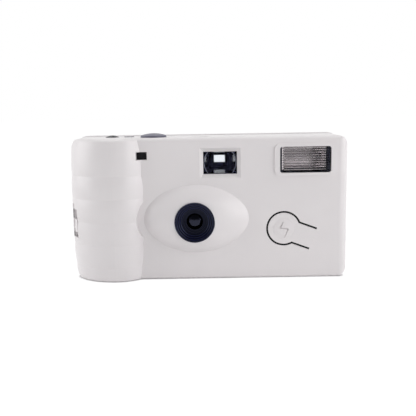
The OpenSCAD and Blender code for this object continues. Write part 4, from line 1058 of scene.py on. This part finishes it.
    def surroundings(self, context, t):
        world = bpy.data.worlds.new("studio")
        world.use_nodes = True
        tree = world.node_tree
        tree.nodes.clear()
        lit = tree.nodes.new("ShaderNodeBackground")
        lit.inputs["Color"].default_value = WHITE
        lit.inputs["Strength"].default_value = t.ambient
        seen = tree.nodes.new("ShaderNodeBackground")
        seen.inputs["Color"].default_value = WHITE
        self.dim_front(tree, seen)
        mix = self.seen_white(tree, lit.outputs["Background"], 1.0)
        tree.links.new(seen.outputs["Background"], mix.inputs[2])
        out = tree.nodes.new("ShaderNodeOutputWorld")
        tree.links.new(mix.outputs["Shader"], out.inputs["Surface"])
        context.scene.world = world


OPERATORS = (
    FILMCAM_OT_shell,
    FILMCAM_OT_mouldings,
    FILMCAM_OT_optics,
    FILMCAM_OT_strap_slots,
    FILMCAM_OT_lens_edge,
    FILMCAM_OT_key_slot,
    FILMCAM_OT_flash,
    FILMCAM_OT_controls,
    FILMCAM_OT_springs,
    FILMCAM_OT_film,
    FILMCAM_OT_electronics,
    FILMCAM_OT_counter,
    FILMCAM_OT_arrow,
    FILMCAM_OT_stage,
)


class FILMCAM_PT_panel(bpy.types.Panel):
    """Lists the making steps and their settings"""

    bl_idname = "FILMCAM_PT_panel"
    bl_label = "Film camera"
    bl_space_type = "VIEW_3D"
    bl_region_type = "UI"
    bl_category = "Film camera"

    def draw(self, context):
        for group in ("filmcam_finish", "filmcam_detail", "filmcam_stage"):
            column = self.layout.column(align=True)
            settings = getattr(context.scene, group)
            for name in settings.__annotations__:
                column.prop(settings, name)
        for operator in OPERATORS:
            self.layout.operator(operator.bl_idname)


CLASSES = (FinishSettings, DetailSettings, StageSettings, *OPERATORS, FILMCAM_PT_panel)


def register():
    for cls in CLASSES:
        bpy.utils.register_class(cls)
    bpy.types.Scene.filmcam_finish = PointerProperty(type=FinishSettings)
    bpy.types.Scene.filmcam_detail = PointerProperty(type=DetailSettings)
    bpy.types.Scene.filmcam_stage = PointerProperty(type=StageSettings)


def unregister():
    del bpy.types.Scene.filmcam_stage
    del bpy.types.Scene.filmcam_detail
    del bpy.types.Scene.filmcam_finish
    for cls in reversed(CLASSES):
        bpy.utils.unregister_class(cls)


def main():
    register()
    bpy.ops.filmcam.shell()
    bpy.ops.filmcam.mouldings()
    bpy.ops.filmcam.optics()
    bpy.ops.filmcam.strap_slots()
    bpy.ops.filmcam.lens_edge()
    bpy.ops.filmcam.key_slot()
    bpy.ops.filmcam.flash()
    bpy.ops.filmcam.controls()
    bpy.ops.filmcam.springs()
    bpy.ops.filmcam.film()
    bpy.ops.filmcam.electronics()
    bpy.ops.filmcam.counter()
    bpy.ops.filmcam.arrow()
    bpy.ops.filmcam.stage()


if __name__ == "__main__":
    main()
